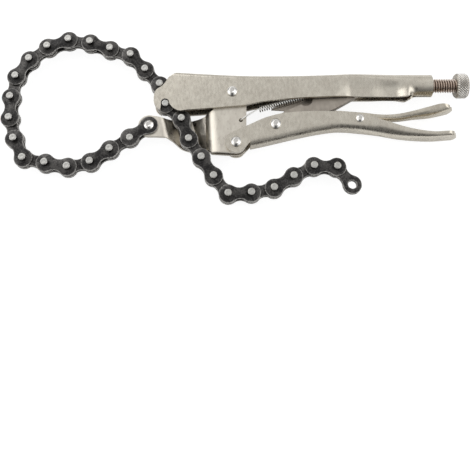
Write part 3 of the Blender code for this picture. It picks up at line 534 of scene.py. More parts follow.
def channel(stations, sheet, press=None):
    """A folded sheet lofted along X.

    Stations are (x, web height, edge height, half width, roll, corner radius).
    Roll turns the section from a plain channel into a tube with a slit. Press
    has two functions, which say how far the outer and the inner face of the
    walls move inwards at a place.
    """
    rings = []
    for x, web, edge, half, roll, corner in stations:
        down = 1 if web > edge else -1
        section = []
        for wall in (0, sheet):
            side = half - wall
            top = web - down * wall
            bend = min(corner, TALLEST_BEND_SHARE * abs(web - edge)) - wall
            bend = max(bend, LEAST_BEND_SHARE * sheet)
            level = top - down * bend
            left = arc((bend - side, level), bend, 180, 180 - 90 * down, BEND_STEPS)
            right = arc((side - bend, level), bend, 90 * down, 0, BEND_STEPS)
            rows = [edge + (level - edge) * i / WALL_ROWS for i in range(WALL_ROWS)]
            flat = [(-side, y) for y in rows] + left
            flat += right + [(side, y) for y in reversed(rows)]
            slit = math.degrees(math.asin(SLIT_HALF / side))
            start = 270 - slit if down > 0 else 90 + slit
            end = start - (360 - 2 * slit) * down
            tube = arc((0, web - down * half), side, start, end, len(flat) - 1)
            section.append([
                (a[0] + (b[0] - a[0]) * roll, a[1] + (b[1] - a[1]) * roll)
                for a, b in zip(flat, tube)
            ])
        if press:
            for wall, depth in enumerate(press):
                section[wall] = [(z - math.copysign(depth(x, y), z), y) for z, y in section[wall]]
        rings.append([(x, y, z) for z, y in section[0] + section[1][::-1]])
    mesh = bmesh.new()
    loops = [[mesh.verts.new(point) for point in ring] for ring in rings]
    count = len(loops[0])
    for one, two in zip(loops, loops[1:]):
        for i in range(count):
            after = (i + 1) % count
            mesh.faces.new((one[i], one[after], two[after], two[i]))
    for loop in (loops[0], loops[-1]):
        for i in range(count // 2 - 1):
            mesh.faces.new((loop[i], loop[i + 1], loop[count - 2 - i], loop[count - 1 - i]))
    bmesh.ops.recalc_face_normals(mesh, faces=mesh.faces)
    return mesh


# %% [markdown]
# A blanked edge is never quite sharp. A narrow bevel lets it catch the light,
# and weighted normals keep the flat faces beside it looking flat.

# %% Dressing a pressed part
SHEET_WELD = 0.004
EDGE_ANGLE = math.radians(50)


def pressed_part(mesh, name, material, node, edge):
    """Bring the sheet to its real size and place, dress it and round its edges."""
    bmesh.ops.remove_doubles(mesh, verts=mesh.verts, dist=SHEET_WELD)
    bmesh.ops.scale(mesh, vec=(MM, MM, MM), verts=mesh.verts)
    bmesh.ops.translate(mesh, vec=JAW, verts=mesh.verts)
    piece = finish_object(mesh, name, material, node, "nickel_plated_steel", node)
    bevel = piece.modifiers.new("edge", "BEVEL")
    bevel.width = edge * MM
    bevel.segments = 2
    bevel.limit_method = "ANGLE"
    bevel.angle_limit = EDGE_ANGLE
    bevel.use_clamp_overlap = True
    weighted = piece.modifiers.new("shading", "WEIGHTED_NORMAL")
    weighted.keep_sharp = True
    print(name, len(piece.data.polygons), "faces")


# %% [markdown]
# The upper handle is one folded channel. Its nose is cut out round the hooked
# chain pin, and its rear is rolled to a tube round the screw. Before the tube
# the walls are pressed inwards a little toward their lower edges. It is lofted
# through sections, because the sheet keeps its thickness while it closes. Pairs
# in a list of shares are a place along and a height, each a share of a size. The
# pairs for the press are the places or heights between which it takes effect:
# PRESS_ENDS counts from the ramp's end, the other places from its start.

# %% Upper handle
HALF = 7.5
SHEET = 2.5
INSIDE = HALF - SHEET
DROP = 37.2
BACK = 13.0
REAR = 142.8
FRONT = 55.3
RAMP = 42.6
RAMP_RISE = 1.9
CLOSING = 8.5
TUBE = 10.5
RAMP_START = REAR - TUBE - CLOSING - RAMP
AXIS_HEIGHT = 6.9
BARREL = 8.0
BELLY = 11.0
THROAT = -3.0
PLATE = 6.5
NOTCH = 2.95
RIVET_HOLE = 3.5
FOLD_CORNER, RAMP_CORNER = 3.0, 7.2
BLANK_FOOT = -BELLY * 1.7
PRESSED_IN = 1.9
PRESSED_MORE = 1.1
PRESSED_INSIDE = 1.4
PRESS_STARTS = (-4, 3)
PRESS_DEEPENS = (16, 28)
PRESS_ENDS = (-9, 2)
PRESS_LEVELS = (11.0, 2.0)
BACK_SHARES = (
    (-1.069, 1.22), (-0.73, 1.17), (-0.182, 1.035), (0.16, 0.965), (0.586, 0.975), (0.888, 1.035),
)
BELLY_SHARES = (
    (-0.574, 1.25), (-0.326, 1.15), (-0.052, 1.02), (0.1065, 0.93), (0.245, 0.71),
    (0.435, 0.53), (0.595, 0.42), (1.0, 0.2727),
)
NOSE_SHARES = (
    (0.30, 2.95), (-0.30, 2.02), (-1.05, 1.42), (-1.24, 0.30), (-1.06, -0.34), (-0.50, -0.80),
)
CHIN_SHARES = ((0.52, -0.18), (0.84, -0.55), (1.30, -0.84), (1.72, -0.92))
BROW = (-39.8, BACK + 2.1)
RAMP_STEPS, CLOSING_STEPS, CURVE_STEPS = 24, 12, 6
TAB_START, TAB_END = 57, 63
TAB_LOW, TAB_TOP = 0.15, BACK - 1.25
TAB_FACES = (0.2, 2.2)
EYE = (60, 2.95)
EYE_RADIUS = 1.2
EYE_CUT = 4
SHEET_EDGE = 0.3
hook_world = (joint_place["hook_turn"] - JAW) / MM
HOOK = (hook_world.x, hook_world.y)


def outer_press(x, y):
    """How far the walls' outer faces are pressed in at a place."""
    past = x - RAMP_START
    along = eased(past, *PRESS_STARTS) * (1 - eased(past - RAMP, *PRESS_ENDS))
    deepest = PRESSED_IN + PRESSED_MORE * eased(past, *PRESS_DEEPENS)
    return deepest * along * eased(y, *PRESS_LEVELS)


def inner_press(x, y):
    """The inner faces move less, which leaves room for the screw."""
    return min(outer_press(x, y), PRESSED_INSIDE)


def upper_handle():
    """The folded handle with its hooked nose, ramp, tube and spring tab."""

    def place(share):
        return share * (FRONT if share < 0 else RAMP_START)

    line = flowing([(place(a), BACK * b) for a, b in BACK_SHARES], CURVE_STEPS)
    stations = [(x, y, BLANK_FOOT, HALF, 0, FOLD_CORNER) for x, y in line]
    for i in range(RAMP_STEPS + 1):
        step = i / RAMP_STEPS
        web = BACK + RAMP_RISE * (1 + step) / 2
        corner = part_way((FOLD_CORNER, RAMP_CORNER), eased(step))
        stations.append((RAMP_START + RAMP * step, web, THROAT, HALF, 0, corner))
    top = AXIS_HEIGHT + BARREL
    for i in range(1, CLOSING_STEPS + 1):
        step = i / CLOSING_STEPS
        ease = eased(step)
        web = part_way((BACK + RAMP_RISE, top), ease)
        side = part_way((HALF, BARREL), ease)
        stations.append((RAMP_START + RAMP + CLOSING * step, web, THROAT, side, ease, RAMP_CORNER))
    stations.append((REAR, top, THROAT, BARREL, 1, RAMP_CORNER))
    shell = channel(stations, SHEET, (outer_press, inner_press))

    def by_hook(shares):
        return [(HOOK[0] + PLATE * a, HOOK[1] + PLATE * b) for a, b in shares]

    outline = [(BROW[0] + 2.5, BROW[1] + PAST), BROW]
    outline += flowing(by_hook(NOSE_SHARES), CURVE_STEPS)
    outline += arc(HOOK, NOTCH, 200, 0, 20)
    lower_edge = by_hook(CHIN_SHARES) + [(place(a), -BELLY * b) for a, b in BELLY_SHARES]
    outline += flowing(lower_edge, CURVE_STEPS)
    outline += [(RAMP_START, BLANK_FOOT - PAST), (-FRONT - PAST, BLANK_FOOT - PAST)]
    outline.append((-FRONT - PAST, BROW[1] + PAST))
    tab = prism([
        (TAB_START, TAB_LOW), (TAB_END, TAB_LOW), (TAB_END, TAB_TOP), (TAB_START, TAB_TOP),
    ], *TAB_FACES)
    shell = combine(shell, [prism(outline, -CUT, CUT), drill((0, 0), RIVET_HOLE)], "DIFFERENCE")
    shell = combine(shell, [tab], "UNION")
    return combine(shell, [drill(EYE, EYE_RADIUS, -EYE_CUT, EYE_CUT)], "DIFFERENCE")


pressed_part(upper_handle(), "upper_handle_shell", nickel_handle, "upper_handle", SHEET_EDGE)

# %% [markdown]
# The jaw is one sheet pressed to a nose, a trough for the chain and a near
# cheek, with a second cheek behind and a doubled nose. The folds lie aslant, so
# the sheet is made larger and ruled between a profile at its top and one at its
# foot. Each fold line is given by its places at two levels of the jaw.

# %% Folded sheet of the jaw
NOSE = (-58.5, -DROP * 0.6398)
HANDLE_RIVET = (2.7, -DROP)
TOGGLE_RIVET = (30.4, -DROP * 0.6505)
LEVER_RIVET = (89.3, -DROP * 0.541)
SPRING_HOLE = (6.1, -DROP * 0.5565)
TROUGH_FACE = -7.6
NOSE_FACE = 2.0
JAW_HALF = INSIDE - 0.3
JAW_REAR = 10.0
FOLDS = ((-0.905, -0.80), (-0.69, -0.565), (-0.50, -0.375), (-0.19, -0.14))
FOLD_LEVELS = (-DROP * 0.45, -DROP * 1.13)
TIGHT_FOLD = 2.5
NOSE_FOLD = 6.5
CHEEK_BEND = 9.5
SHEET_TOP, SHEET_FOOT = 14, -56
SHEET_LEFT, SHEET_RIGHT = -80, 20
BISECTIONS = 40


def on_fold(top, bottom, y):
    """Where a slanted fold line is at a height."""
    high, low = FOLD_LEVELS
    return top + (bottom - top) * (y - high) / (low - high)


def s_bend(start, end, first, last):
    """Middle line of a sheet stepping between two levels: an arc, a slope, an arc."""
    wide = end[0] - start[0]
    tall = abs(end[1] - start[1])
    sign = math.copysign(1, end[1] - start[1])
    low, high = 0, math.pi / 2
    for _ in range(BISECTIONS):
        turn = (low + high) / 2
        if wide * math.sin(turn) - tall * math.cos(turn) < (first + last) * (1 - math.cos(turn)):
            low = turn
        else:
            high = turn
    angles = [turn * i / BEND_STEPS for i in range(BEND_STEPS + 1)]
    line = [(start[0] + first * math.sin(a), start[1] + sign * first * (1 - math.cos(a)), sign * a)
            for a in angles]
    line += [(end[0] - last * math.sin(a), end[1] - sign * last * (1 - math.cos(a)), sign * a)
             for a in reversed(angles)]
    return line


def jaw_sheet():
    """The folded sheet with its thickness, larger than its outline."""
    nose = NOSE_FACE - SHEET / 2
    floor = TROUGH_FACE - SHEET / 2
    cheek = JAW_HALF - SHEET / 2
    reach = -NOSE[0]
    mesh = bmesh.new()
    rings = []
    for y in (SHEET_TOP, SHEET_FOOT):
        ends = [reach * on_fold(top, bottom, y) for top, bottom in FOLDS]
        line = [(SHEET_LEFT, nose, 0)]
        line += s_bend((ends[0], nose), (ends[1], floor), NOSE_FOLD, TIGHT_FOLD)
        line += s_bend((ends[2], floor), (ends[3], cheek), TIGHT_FOLD, CHEEK_BEND)
        line.append((SHEET_RIGHT, cheek, 0))
        sides = []
        for half in (SHEET / 2, -SHEET / 2):
            sides.append([(x - half * math.sin(a), y, z + half * math.cos(a)) for x, z, a in line])
        rings.append([mesh.verts.new(point) for point in sides[0] + sides[1][::-1]])
    count = len(rings[0])
    for i in range(count):
        after = (i + 1) % count
        mesh.faces.new((rings[0][i], rings[0][after], rings[1][after], rings[1][i]))
    for ring in rings:
        for i in range(count // 2 - 1):
            mesh.faces.new((ring[i], ring[i + 1], ring[count - 2 - i], ring[count - 1 - i]))
    bmesh.ops.recalc_face_normals(mesh, faces=mesh.faces)
    return mesh


# %% [markdown]
# The larger sheet gets its far cheek and its doubler, and is then trimmed to
# the jaw's outline and pierced for the rivets and the spring. Cutting last
# keeps the outline true across the bends, as a trimming die does.

# %% Lower jaw
CHAIN_RIVET_HOLE = 3.2
SPRING_HOLE_RADIUS = 1.4
CHEEK_FOLD = (-0.36, -0.26)
DOUBLER_FOLD = (-0.89, -0.79)
DOUBLER_GAP = 1.1
DOUBLER_FACES = (-2.0, 0.3)
BACK_EDGE_SHARES = ((-0.22, 0.33), (-0.37, 0.45), (-0.56, 0.47), (-0.80, 0.48))
UNDER_SHARES = (
    (-0.92, 0.845), (-0.80, 0.86), (-0.72, 0.91), (-0.62, 1.02), (-0.50, 1.08),
    (-0.33, 1.10), (-0.24, 1.165),
)
PIVOT_RADIUS = 8.0
NOSE_RADIUS = 7.7
HEEL_RADIUS = 7.2


def lower_jaw():
    """Both cheeks, the trough and the doubled nose, trimmed and pierced."""
    reach = -NOSE[0]

    def at_height(shares, y):
        return on_fold(reach * shares[0], reach * shares[1], y)

    def edge(shares):
        return [(reach * a, -DROP * b) for a, b in shares]

    outline = arc((0, 0), PIVOT_RADIUS, 0, 180, 24)
    outline += flowing([(-PIVOT_RADIUS, -2.0)] + edge(BACK_EDGE_SHARES), 5)
    outline += arc(NOSE, NOSE_RADIUS, 80, 265, 30)
    outline += flowing(edge(UNDER_SHARES), 5)
    outline += arc(HANDLE_RIVET, HEEL_RADIUS, 260, 370, 20)
    outline += [(JAW_REAR, SPRING_HOLE[1]), (JAW_REAR, -PIVOT_RADIUS)]
    far_cheek = prism([
        (at_height(CHEEK_FOLD, SHEET_TOP), SHEET_TOP),
        (at_height(CHEEK_FOLD, SHEET_FOOT), SHEET_FOOT),
        (SHEET_RIGHT, SHEET_FOOT), (SHEET_RIGHT, SHEET_TOP),
    ], -JAW_HALF, -JAW_HALF + SHEET)
    left, top, foot = SHEET_LEFT + 1, SHEET_TOP - 1, SHEET_FOOT + 1
    doubler = prism([
        (left, top), (left, foot), (at_height(DOUBLER_FOLD, foot) + DOUBLER_GAP, foot),
        (at_height(DOUBLER_FOLD, top) + DOUBLER_GAP, top),
    ], *DOUBLER_FACES)
    blank = combine(jaw_sheet(), [far_cheek, doubler], "UNION")
    blank = combine(blank, [prism(outline, -CUT, CUT)], "INTERSECT")
    return combine(blank, [
        drill((0, 0), RIVET_HOLE), drill(HANDLE_RIVET, RIVET_HOLE), drill(NOSE, CHAIN_RIVET_HOLE),
        drill(SPRING_HOLE, SPRING_HOLE_RADIUS, 0, CUT),
    ], "DIFFERENCE")


pressed_part(lower_jaw(), "lower_jaw_pressing", nickel_jaw, "lower_jaw", SHEET_EDGE)

# %% [markdown]
# The lower handle is a channel open toward the upper one, with round lugs on
# the jaw. It is lofted as the upper one is, and a long round-ended bar trims
# its tip. Each share row is a place along, the web's depth and the edge's. The
# fold's corners grow between two shares of the length, where the tail begins.

# %% Lower handle
TAIL = 154.4
HANDLE_TIP = 157.0
LUG_END = 12.5
LUG_RADIUS = 7.6
LEVER_HOLE = 2.6
TRIM_ROOM = 0.2
FAR_DOWN, FAR_LEFT = -62, -17
HANDLE_CORNERS = (5.0, 10.0)
HANDLE_ROUNDING = (0.55, 0.75)
LUG_SHARES = ((-0.06, 1.40, 0.45), (0.068, 1.40, 0.45))
HANDLE_SHARES = (
    (0.081, 1.075, 0.66), (0.152, 1.01, 0.525), (0.23, 0.93, 0.44), (0.30, 0.86, 0.41),
    (0.38, 0.79, 0.398), (0.48, 0.735, 0.405), (0.58, 0.765, 0.43), (0.63, 0.80, 0.50),
    (0.70, 0.855, 0.595), (0.76, 0.885, 0.68), (0.83, 0.90, 0.755), (0.91, 0.90, 0.80),
    (0.96, 0.885, 0.79), (1.02, 0.865, 0.775),
)


def round_ended(start, end, half, low, high):
    """A long bar, seen from above with a round end, that trims a tail's tip."""
    outline = [(start, half), (start, -half)] + arc((end - half, 0), half, -90, 90, 24)
    return plan_prism(outline, low, high)


def lower_handle():
    """The channel with its lugs and round tip, pierced for its three rivets."""

    def placed(rows):
        return [(TAIL * a, -DROP * b, -DROP * c) for a, b, c in rows]

    line = placed(LUG_SHARES) + flowing(placed(HANDLE_SHARES), 5)
    shell = channel([
        (x, web, edge, HALF, 0, part_way(HANDLE_CORNERS, eased(x / TAIL, *HANDLE_ROUNDING)))
        for x, web, edge in line
    ], SHEET)
    trimmer = round_ended(FAR_LEFT, HANDLE_TIP, HALF + TRIM_ROOM, FAR_DOWN, PAST)
    shell = combine(shell, [trimmer], "INTERSECT")
    low_right, low_left = (LUG_END, FAR_DOWN), (FAR_LEFT, FAR_DOWN)
    high_right, high_left = (LUG_END, PAST), (FAR_LEFT, PAST)
    _, web, edge = placed(HANDLE_SHARES)[0]
    outline = [high_right, (LUG_END, edge)] + arc(HANDLE_RIVET, LUG_RADIUS, 120, 300, 30)
    outline += [(LUG_END, web + SHEET), low_right, low_left, high_left]
    window = prism([high_left, low_left, low_right, high_right], -INSIDE, INSIDE)
    return combine(shell, [
        prism(outline, -CUT, CUT), window, drill(HANDLE_RIVET, RIVET_HOLE),
        drill(TOGGLE_RIVET, RIVET_HOLE), drill(LEVER_RIVET, LEVER_HOLE),
    ], "DIFFERENCE")


pressed_part(lower_handle(), "lower_handle_shell", nickel_handle, "lower_handle", SHEET_EDGE)

# %% [markdown]
# The toggle link is the bar that snaps over centre and locks the jaw. It is
# blanked from thick sheet, so a filled outline is enough, with a round notch in
# its back and a thin flange that shows behind the spring. A place on it is a
# share of the way from its rivet to its tip and an offset to one side.

# %% Toggle link
TOGGLE_HALF = 3
TOGGLE_FOOT = 6.4
TOGGLE_TIP = 3.6
TOGGLE_END = (96.3, AXIS_HEIGHT - 0.9)
TOGGLE_EDGE = 0.35
TOGGLE_FRONT = ((0.25, -6.0), (0.62, -6.0))
TOGGLE_BACK = ((0.80, 3.45), (0.58, 6.9), (0.20, 6.9))
TOGGLE_NOTCH = (0.386, 8.95)
TOGGLE_NOTCH_RADIUS = 5.0
FLANGE = 1.6
FLANGE_PLACES = (
    (0.30, 2.0), (0.154, 4.0), (0.154, 9.0), (0.044, 13.3), (0.06, 13.9), (0.31, 14.3),
    (0.48, 14.5), (0.523, 7.0), (0.50, 2.0),
)


def toggle_link():
    """The bar from the handle's rivet to the screw, with its far flange."""
    tip = Vector(TOGGLE_END)
    foot = Vector(TOGGLE_RIVET)
    along = (tip - foot).normalized()
    over = Vector((-along.y, along.x))
    length = (tip - foot).length
    slope = math.degrees(math.atan2(along.y, along.x))

    def spots(places):
        points = [foot + along * (length * step) + over * offset for step, offset in places]
        return [(point.x, point.y) for point in points]

    outline = arc(foot, TOGGLE_FOOT, slope + 110, slope + 255, 24) + spots(TOGGLE_FRONT)
    outline += arc(tip, TOGGLE_TIP, slope - 60, slope + 80, 16) + spots(TOGGLE_BACK)
    notch = drill(spots([TOGGLE_NOTCH])[0], TOGGLE_NOTCH_RADIUS)
    notched = combine(prism(outline, -TOGGLE_HALF, TOGGLE_HALF), [notch], "DIFFERENCE")
    outer, inner = -TOGGLE_HALF, -TOGGLE_HALF + FLANGE
    flange = prism(spots(FLANGE_PLACES), outer, inner)
    return combine(combine(notched, [flange], "UNION"), [drill(foot, RIVET_HOLE)], "DIFFERENCE")


pressed_part(toggle_link(), "toggle_link_bar", shaded_nickel_toggle, "toggle_link", TOGGLE_EDGE)

# %% [markdown]
# The release lever lies inside the lower handle and flares to a thumb blade.
# Its rows also say how wide each section is, as a share of its narrow end.

# %% Release lever
LEVER_TIP = 156.0
LEVER_SHEET = 1.8
LEVER_HALF = INSIDE - 0.4
LEVER_EDGE = 0.25
THUMB_SHARE = 1.65
LEVER_CORNERS = (2.6, 6.6)
LEVER_ROUNDING = (0, 0.3)
LEVER_SHARES = (
    (-0.26, 0.17, 0.33, 1), (-0.16, -0.05, 0.31, 1), (-0.06, -0.21, 0.28, 1),
    (0.06, -0.21, 0.25, 1), (0.18, -0.06, 0.20, 1), (0.30, 0.0, 0.18, 1),
    (0.44, 0.02, 0.22, 1), (0.60, 0.10, 0.32, 1.2), (0.76, 0.155, 0.445, 1.5),
    (0.90, 0.26, 0.545, THUMB_SHARE), (0.97, 0.335, 0.515, THUMB_SHARE),
    (1.03, 0.40, 0.53, THUMB_SHARE),
)


def release_lever():
    """The inner lever, which widens to the thumb blade."""
    reach = TAIL - LEVER_RIVET[0]
    drop = -LEVER_RIVET[1]
    line = flowing([
        (LEVER_RIVET[0] + reach * a, -drop * (1 - b), -drop * (1 - c), LEVER_HALF * d)
        for a, b, c, d in LEVER_SHARES
    ], 5)

    def corner(x):
        return part_way(LEVER_CORNERS, eased((x - LEVER_RIVET[0]) / reach, *LEVER_ROUNDING))

    shell = channel([
        (x, web, edge, width, 0, corner(x)) for x, web, edge, width in line
    ], LEVER_SHEET)
    wide = LEVER_HALF * THUMB_SHARE + TRIM_ROOM
    trimmer = round_ended(LEVER_RIVET[0] - reach, LEVER_TIP, wide, -DROP, PAST)
    shell = combine(shell, [trimmer], "INTERSECT")
    return combine(shell, [drill(LEVER_RIVET, LEVER_HOLE)], "DIFFERENCE")


pressed_part(release_lever(), "release_lever_blade", nickel_lever, "release_lever", LEVER_EDGE)

# %% [markdown]
# One link plate is a waisted outline: two round ends joined by hollow curves.
# It is drawn once as vertices along arcs, filled, extruded to its thickness
# and bevelled, and every link then uses copies of it.

# %% Link plates
PLATE_RADIUS = 6.5 * MM
PLATE_WAIST = 4.0 * MM
PLATE_THICKNESS = 1.3 * MM
PLATE_EDGE = 0.55 * MM
END_STEPS, WAIST_STEPS, PLATE_HOLE_STEPS = 22, 8, 24
RIM_ANGLE = math.radians(60)
INNER_HALF = 2.1 * MM
OUTER_INSIDE = 2.4 * MM
OUTER_HALF = 3.7 * MM
PIN_RADIUS = 2.5 * MM
PIN_HALF = 7.2 * MM
HOLE_RADIUS = 2.92 * MM
BUSH_RADIUS = 4.02 * MM


def waisted_outline():
    """A plate's outline, from one round end along its hollow flank to the other."""
    half = PITCH / 2
    waist = (half ** 2 + PLATE_WAIST ** 2 - PLATE_RADIUS ** 2) / (2 * (PLATE_RADIUS - PLATE_WAIST))
    touch = math.degrees(math.atan2(PLATE_WAIST + waist, half))
    low, high = (half, -PLATE_WAIST - waist), (half, PLATE_WAIST + waist)
    points = arc((0, 0), PLATE_RADIUS, touch, 360 - touch, END_STEPS)
    points += arc(low, waist, 180 - touch, touch, WAIST_STEPS)[1:-1]
    points += arc((PITCH, 0), PLATE_RADIUS, touch - 180, 180 - touch, END_STEPS)
    points += arc(high, waist, -touch, touch - 180, WAIST_STEPS)[1:-1]
    return points


def edge_loop(mesh, points, level):
    """A closed loop of edges at one height."""
    verts = [mesh.verts.new((x, y, level)) for x, y in points]
    return [mesh.edges.new((a, b)) for a, b in zip(verts, verts[1:] + verts[:1])]


def plate(low, high, holes):
    """A link plate between two heights, with its holes and rounded edges."""
    mesh = bmesh.new()
    edges = edge_loop(mesh, waisted_outline(), low)
    last = 360 - 360 / PLATE_HOLE_STEPS
    for x, radius in holes:
        edges += edge_loop(mesh, arc((x, 0), radius, 0, last, PLATE_HOLE_STEPS - 1), low)
    bmesh.ops.triangle_fill(mesh, use_beauty=True, use_dissolve=False, edges=edges)
    bmesh.ops.dissolve_limit(mesh, angle_limit=math.radians(1), verts=mesh.verts, edges=mesh.edges)
    lifted = bmesh.ops.extrude_face_region(mesh, geom=mesh.faces[:])
    top = [item for item in lifted["geom"] if isinstance(item, bmesh.types.BMVert)]
    bmesh.ops.translate(mesh, vec=(0, 0, high - low), verts=top)
    bmesh.ops.recalc_face_normals(mesh, faces=mesh.faces)
    rims = [edge for edge in mesh.edges if abs(edge.calc_face_angle(0)) > RIM_ANGLE]
    bmesh.ops.bevel(
        mesh, geom=rims, offset=PLATE_EDGE, offset_type="OFFSET", segments=2, profile=0.5,
        affect="EDGES", material=-1,
    )
    return mesh


# %% [markdown]
# Pins, bushes, rivets, the screw's point and the knob are all turned parts. One
# function spins half a section round an axis, just as a lathe would cut it.

# %% Turned shapes
UP = Vector((0, 0, 1))
ALONG = Vector((1, 0, 0))
ROUND_STEPS = 24


def turned(profile, axis_point, axis, side, steps):
    """A turned shape: (radius, distance) pairs spun round an axis."""
    mesh = bmesh.new()
    verts = [mesh.verts.new(axis_point + axis * along + side * radius) for radius, along in profile]
    edges = [mesh.edges.new(pair) for pair in zip(verts, verts[1:])]
    bmesh.ops.spin(
        mesh, geom=verts + edges, cent=axis_point, axis=axis, dvec=(0, 0, 0),
        angle=2 * math.pi, steps=steps, use_merge=True, use_normal_flip=False, use_duplicate=False,
    )
    bmesh.ops.remove_doubles(mesh, verts=mesh.verts, dist=WELD)
    bmesh.ops.recalc_face_normals(mesh, faces=mesh.faces)
    return mesh


def merged(*meshes):
    """Several shapes in one mesh, each kept whole."""
    result = bmesh.new()
    for mesh in meshes:
        data = bpy.data.meshes.new("part")
        mesh.to_mesh(data)
        mesh.free()
        result.from_mesh(data)
        bpy.data.meshes.remove(data)
    return result


def bar(x, radius, half, edge):
    """A round bar along Z with chamfered ends."""
    profile = [(0, -half), (radius - edge, -half), (radius, -half + edge)]
    profile += [(radius, half - edge), (radius - edge, half), (0, half)]
    return turned(profile, Vector((x, 0, 0)), UP, ALONG, ROUND_STEPS)


def bush(x):
    """A bush: a tube between the inner plates, open for its pin."""
    inside = INNER_HALF - PLATE_THICKNESS
    profile = [(HOLE_RADIUS, -inside), (BUSH_RADIUS, -inside), (BUSH_RADIUS, inside)]
    profile += [(HOLE_RADIUS, inside), (HOLE_RADIUS, -inside)]
    return turned(profile, Vector((x, 0, 0)), UP, ALONG, ROUND_STEPS)


# %% [markdown]
# An outer link is two plates riveted on two long pins, which stand out on both
# sides so that the upper handle's notch can take any of them. An inner link is
# two plates held apart by bushes. Only the ground ends of the pins are bright,
# so they are pieces of their own, each with its own finish.

# %% Outer and inner links
PIN_END_RISE = 0.12 * MM
PIN_DISH = 0.10 * MM
PIN_CHAMFER = 0.3 * MM
RIVET_FIT = 3.32 * MM
SHORT_PIN_HALF = OUTER_HALF + 0.3 * MM
PIN_FACE_SHARES = ((0.88, 0), (0.62, 0), (0.40, 0.7), (0, 1))


def pin_places(first):
    """Half length of a link's pins and where they stand; the first link has one."""
    return (SHORT_PIN_HALF, (PITCH,)) if first else (PIN_HALF, (0, PITCH))


def outer_shape(first):
    """Plates and pins of an outer link; the first one fits over the jaw's rivet."""
    holes = [(0, RIVET_FIT)] if first else []
    shapes = [plate(OUTER_INSIDE, OUTER_HALF, holes), plate(-OUTER_HALF, -OUTER_INSIDE, holes)]
    half, places = pin_places(first)
    shapes += [bar(x, PIN_RADIUS, half - PIN_END_RISE, PIN_CHAMFER) for x in places]
    return merged(*shapes)


def pin_end(x, level, side):
    """The ground end of a pin: a shallow rim round a dished middle."""
    rim = PIN_RADIUS - PIN_CHAMFER
    base = level - PIN_END_RISE * 2
    profile = [(0, base), (rim, base), (rim, level - PIN_END_RISE)]
    profile += [(rim * share, level - PIN_DISH * sunk) for share, sunk in PIN_FACE_SHARES]
    profile = [(radius, height * side) for radius, height in profile]
    return turned(profile, Vector((x, 0, 0)), UP, ALONG, ROUND_STEPS)


def pin_ends_shape(first):
    """The ground ends of an outer link's pins."""
    half, places = pin_places(first)
    return merged(*[pin_end(x, half, side) for x in places for side in (1, -1)])


def inner_shape():
    """Plates and bushes of an inner link."""
    holes = [(0, HOLE_RADIUS), (PITCH, HOLE_RADIUS)]
    inside = INNER_HALF - PLATE_THICKNESS
    plates = [plate(inside, INNER_HALF, holes), plate(-INNER_HALF, -inside, holes)]
    return merged(*plates, bush(0), bush(PITCH))


def laid(mesh, number):
    """The link's shape moved to its place in the chain."""
    start, end = link_ends(number)
    heading = math.atan2(end.y - start.y, end.x - start.x)
    placing = Matrix.Translation(start) @ Matrix.Rotation(heading, 4, "Z")
    bmesh.ops.transform(mesh, matrix=placing, verts=mesh.verts)
    return mesh


for number, node in enumerate(LINKS, 1):
    outer, first = number % 2, number == 1
    shape = outer_shape(first) if outer else inner_shape()
    name = f"chain_{number:02d}_"
    finish_object(laid(shape, number), name + "plates", chain_black, node, "chain_steel", node)
    if outer:
        ends = laid(pin_ends_shape(first), number)
        finish_object(ends, name + "pin_ends", pin_end_steel, node, "rivet_steel")
print("links dressed", len(LINKS))

# %% [markdown]
# The rivets are set by a hollow punch: the near head is a shiny cone with a
# rounded crown and a flat shallow cup. The far head is pressed flat. Half of
# its section, drawn as shares of the head, is spun round the rivet's own axis.

# %% Rivets
FAR_HEAD_SHARES = ((0.0, 0.0), (0.8, 0.0), (0.95, 0.25), (1.0, 0.6), (1.0, 1.0))
NEAR_SEAT_SHARE = 0.97
NEAR_HEAD_SHARES = (
    (1.0, 0.06), (0.985, 0.20), (0.95, 0.33), (0.89, 0.45), (0.80, 0.59), (0.71, 0.73),
    (0.63, 0.85), (0.58, 0.93), (0.53, 0.985), (0.48, 1.0), (0.44, 0.985), (0.41, 0.95),
    (0.38, 0.935), (0.20, 0.92), (0.0, 0.915),
)


def rivet(node, body, dome, shank, far):
    """A rivet inside its solid's box: shank, cupped near dome and far head."""
    low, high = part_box(node)
    middle = (low + high) / 2
    head = (high.x - low.x) / 2
    near_seat = high.z - dome
    far_seat = low.z + far
    profile = [(head * a, low.z + (far_seat - low.z) * b) for a, b in FAR_HEAD_SHARES]
    profile += [(shank, far_seat), (shank, near_seat), (head * NEAR_SEAT_SHARE, near_seat)]
    profile += [(head * a, near_seat + dome * b) for a, b in NEAR_HEAD_SHARES]
    mesh = turned(profile, Vector((middle.x, middle.y, 0)), UP, ALONG, HOLE_STEPS)
    finish_object(mesh, node + "_turned", rivet_steel, body, "rivet_steel", node)


for node, body, dome, shank, far in (
    ("jaw_rivet", "upper_handle", 1.9, 3.2, 2.3),
    ("handle_rivet", "lower_handle", 1.9, 3.2, 2.3),
    ("toggle_rivet", "lower_handle", 1.9, 3.2, 2.3),
    ("lever_rivet", "lower_handle", 1.1, 2.3, 1.1),
    ("chain_rivet", "lower_jaw", 1.6, 2.9, 1.6),
):
    rivet(node, body, dome * MM, shank * MM, far * MM)

# %% [markdown]
# The screw's thread is a V that climbs one pitch in each turn. The zigzag of
# the V is spun once round the axis while it moves along by that pitch, so each
# V ends where the next one begins, and the seam welds shut.

# %% Adjusting screw
THREAD_PITCH = 1.75 * MM
THREAD_STEPS = 40
KNOB_LENGTH = 8.4 * MM
KNOB_CHAMFER = 1.4 * MM
POINT_RADIUS = 3.6 * MM
POINT_LENGTH = 30.0 * MM
POINT_CHAMFER = 1.2 * MM
SHANK_OVERLAP = 0.5 * MM
CREST = (0.46, 0.58)
ROOT_END = 0.10
KNOB_START = screw_high.x - KNOB_LENGTH
THREAD_START = screw_low.x + POINT_LENGTH


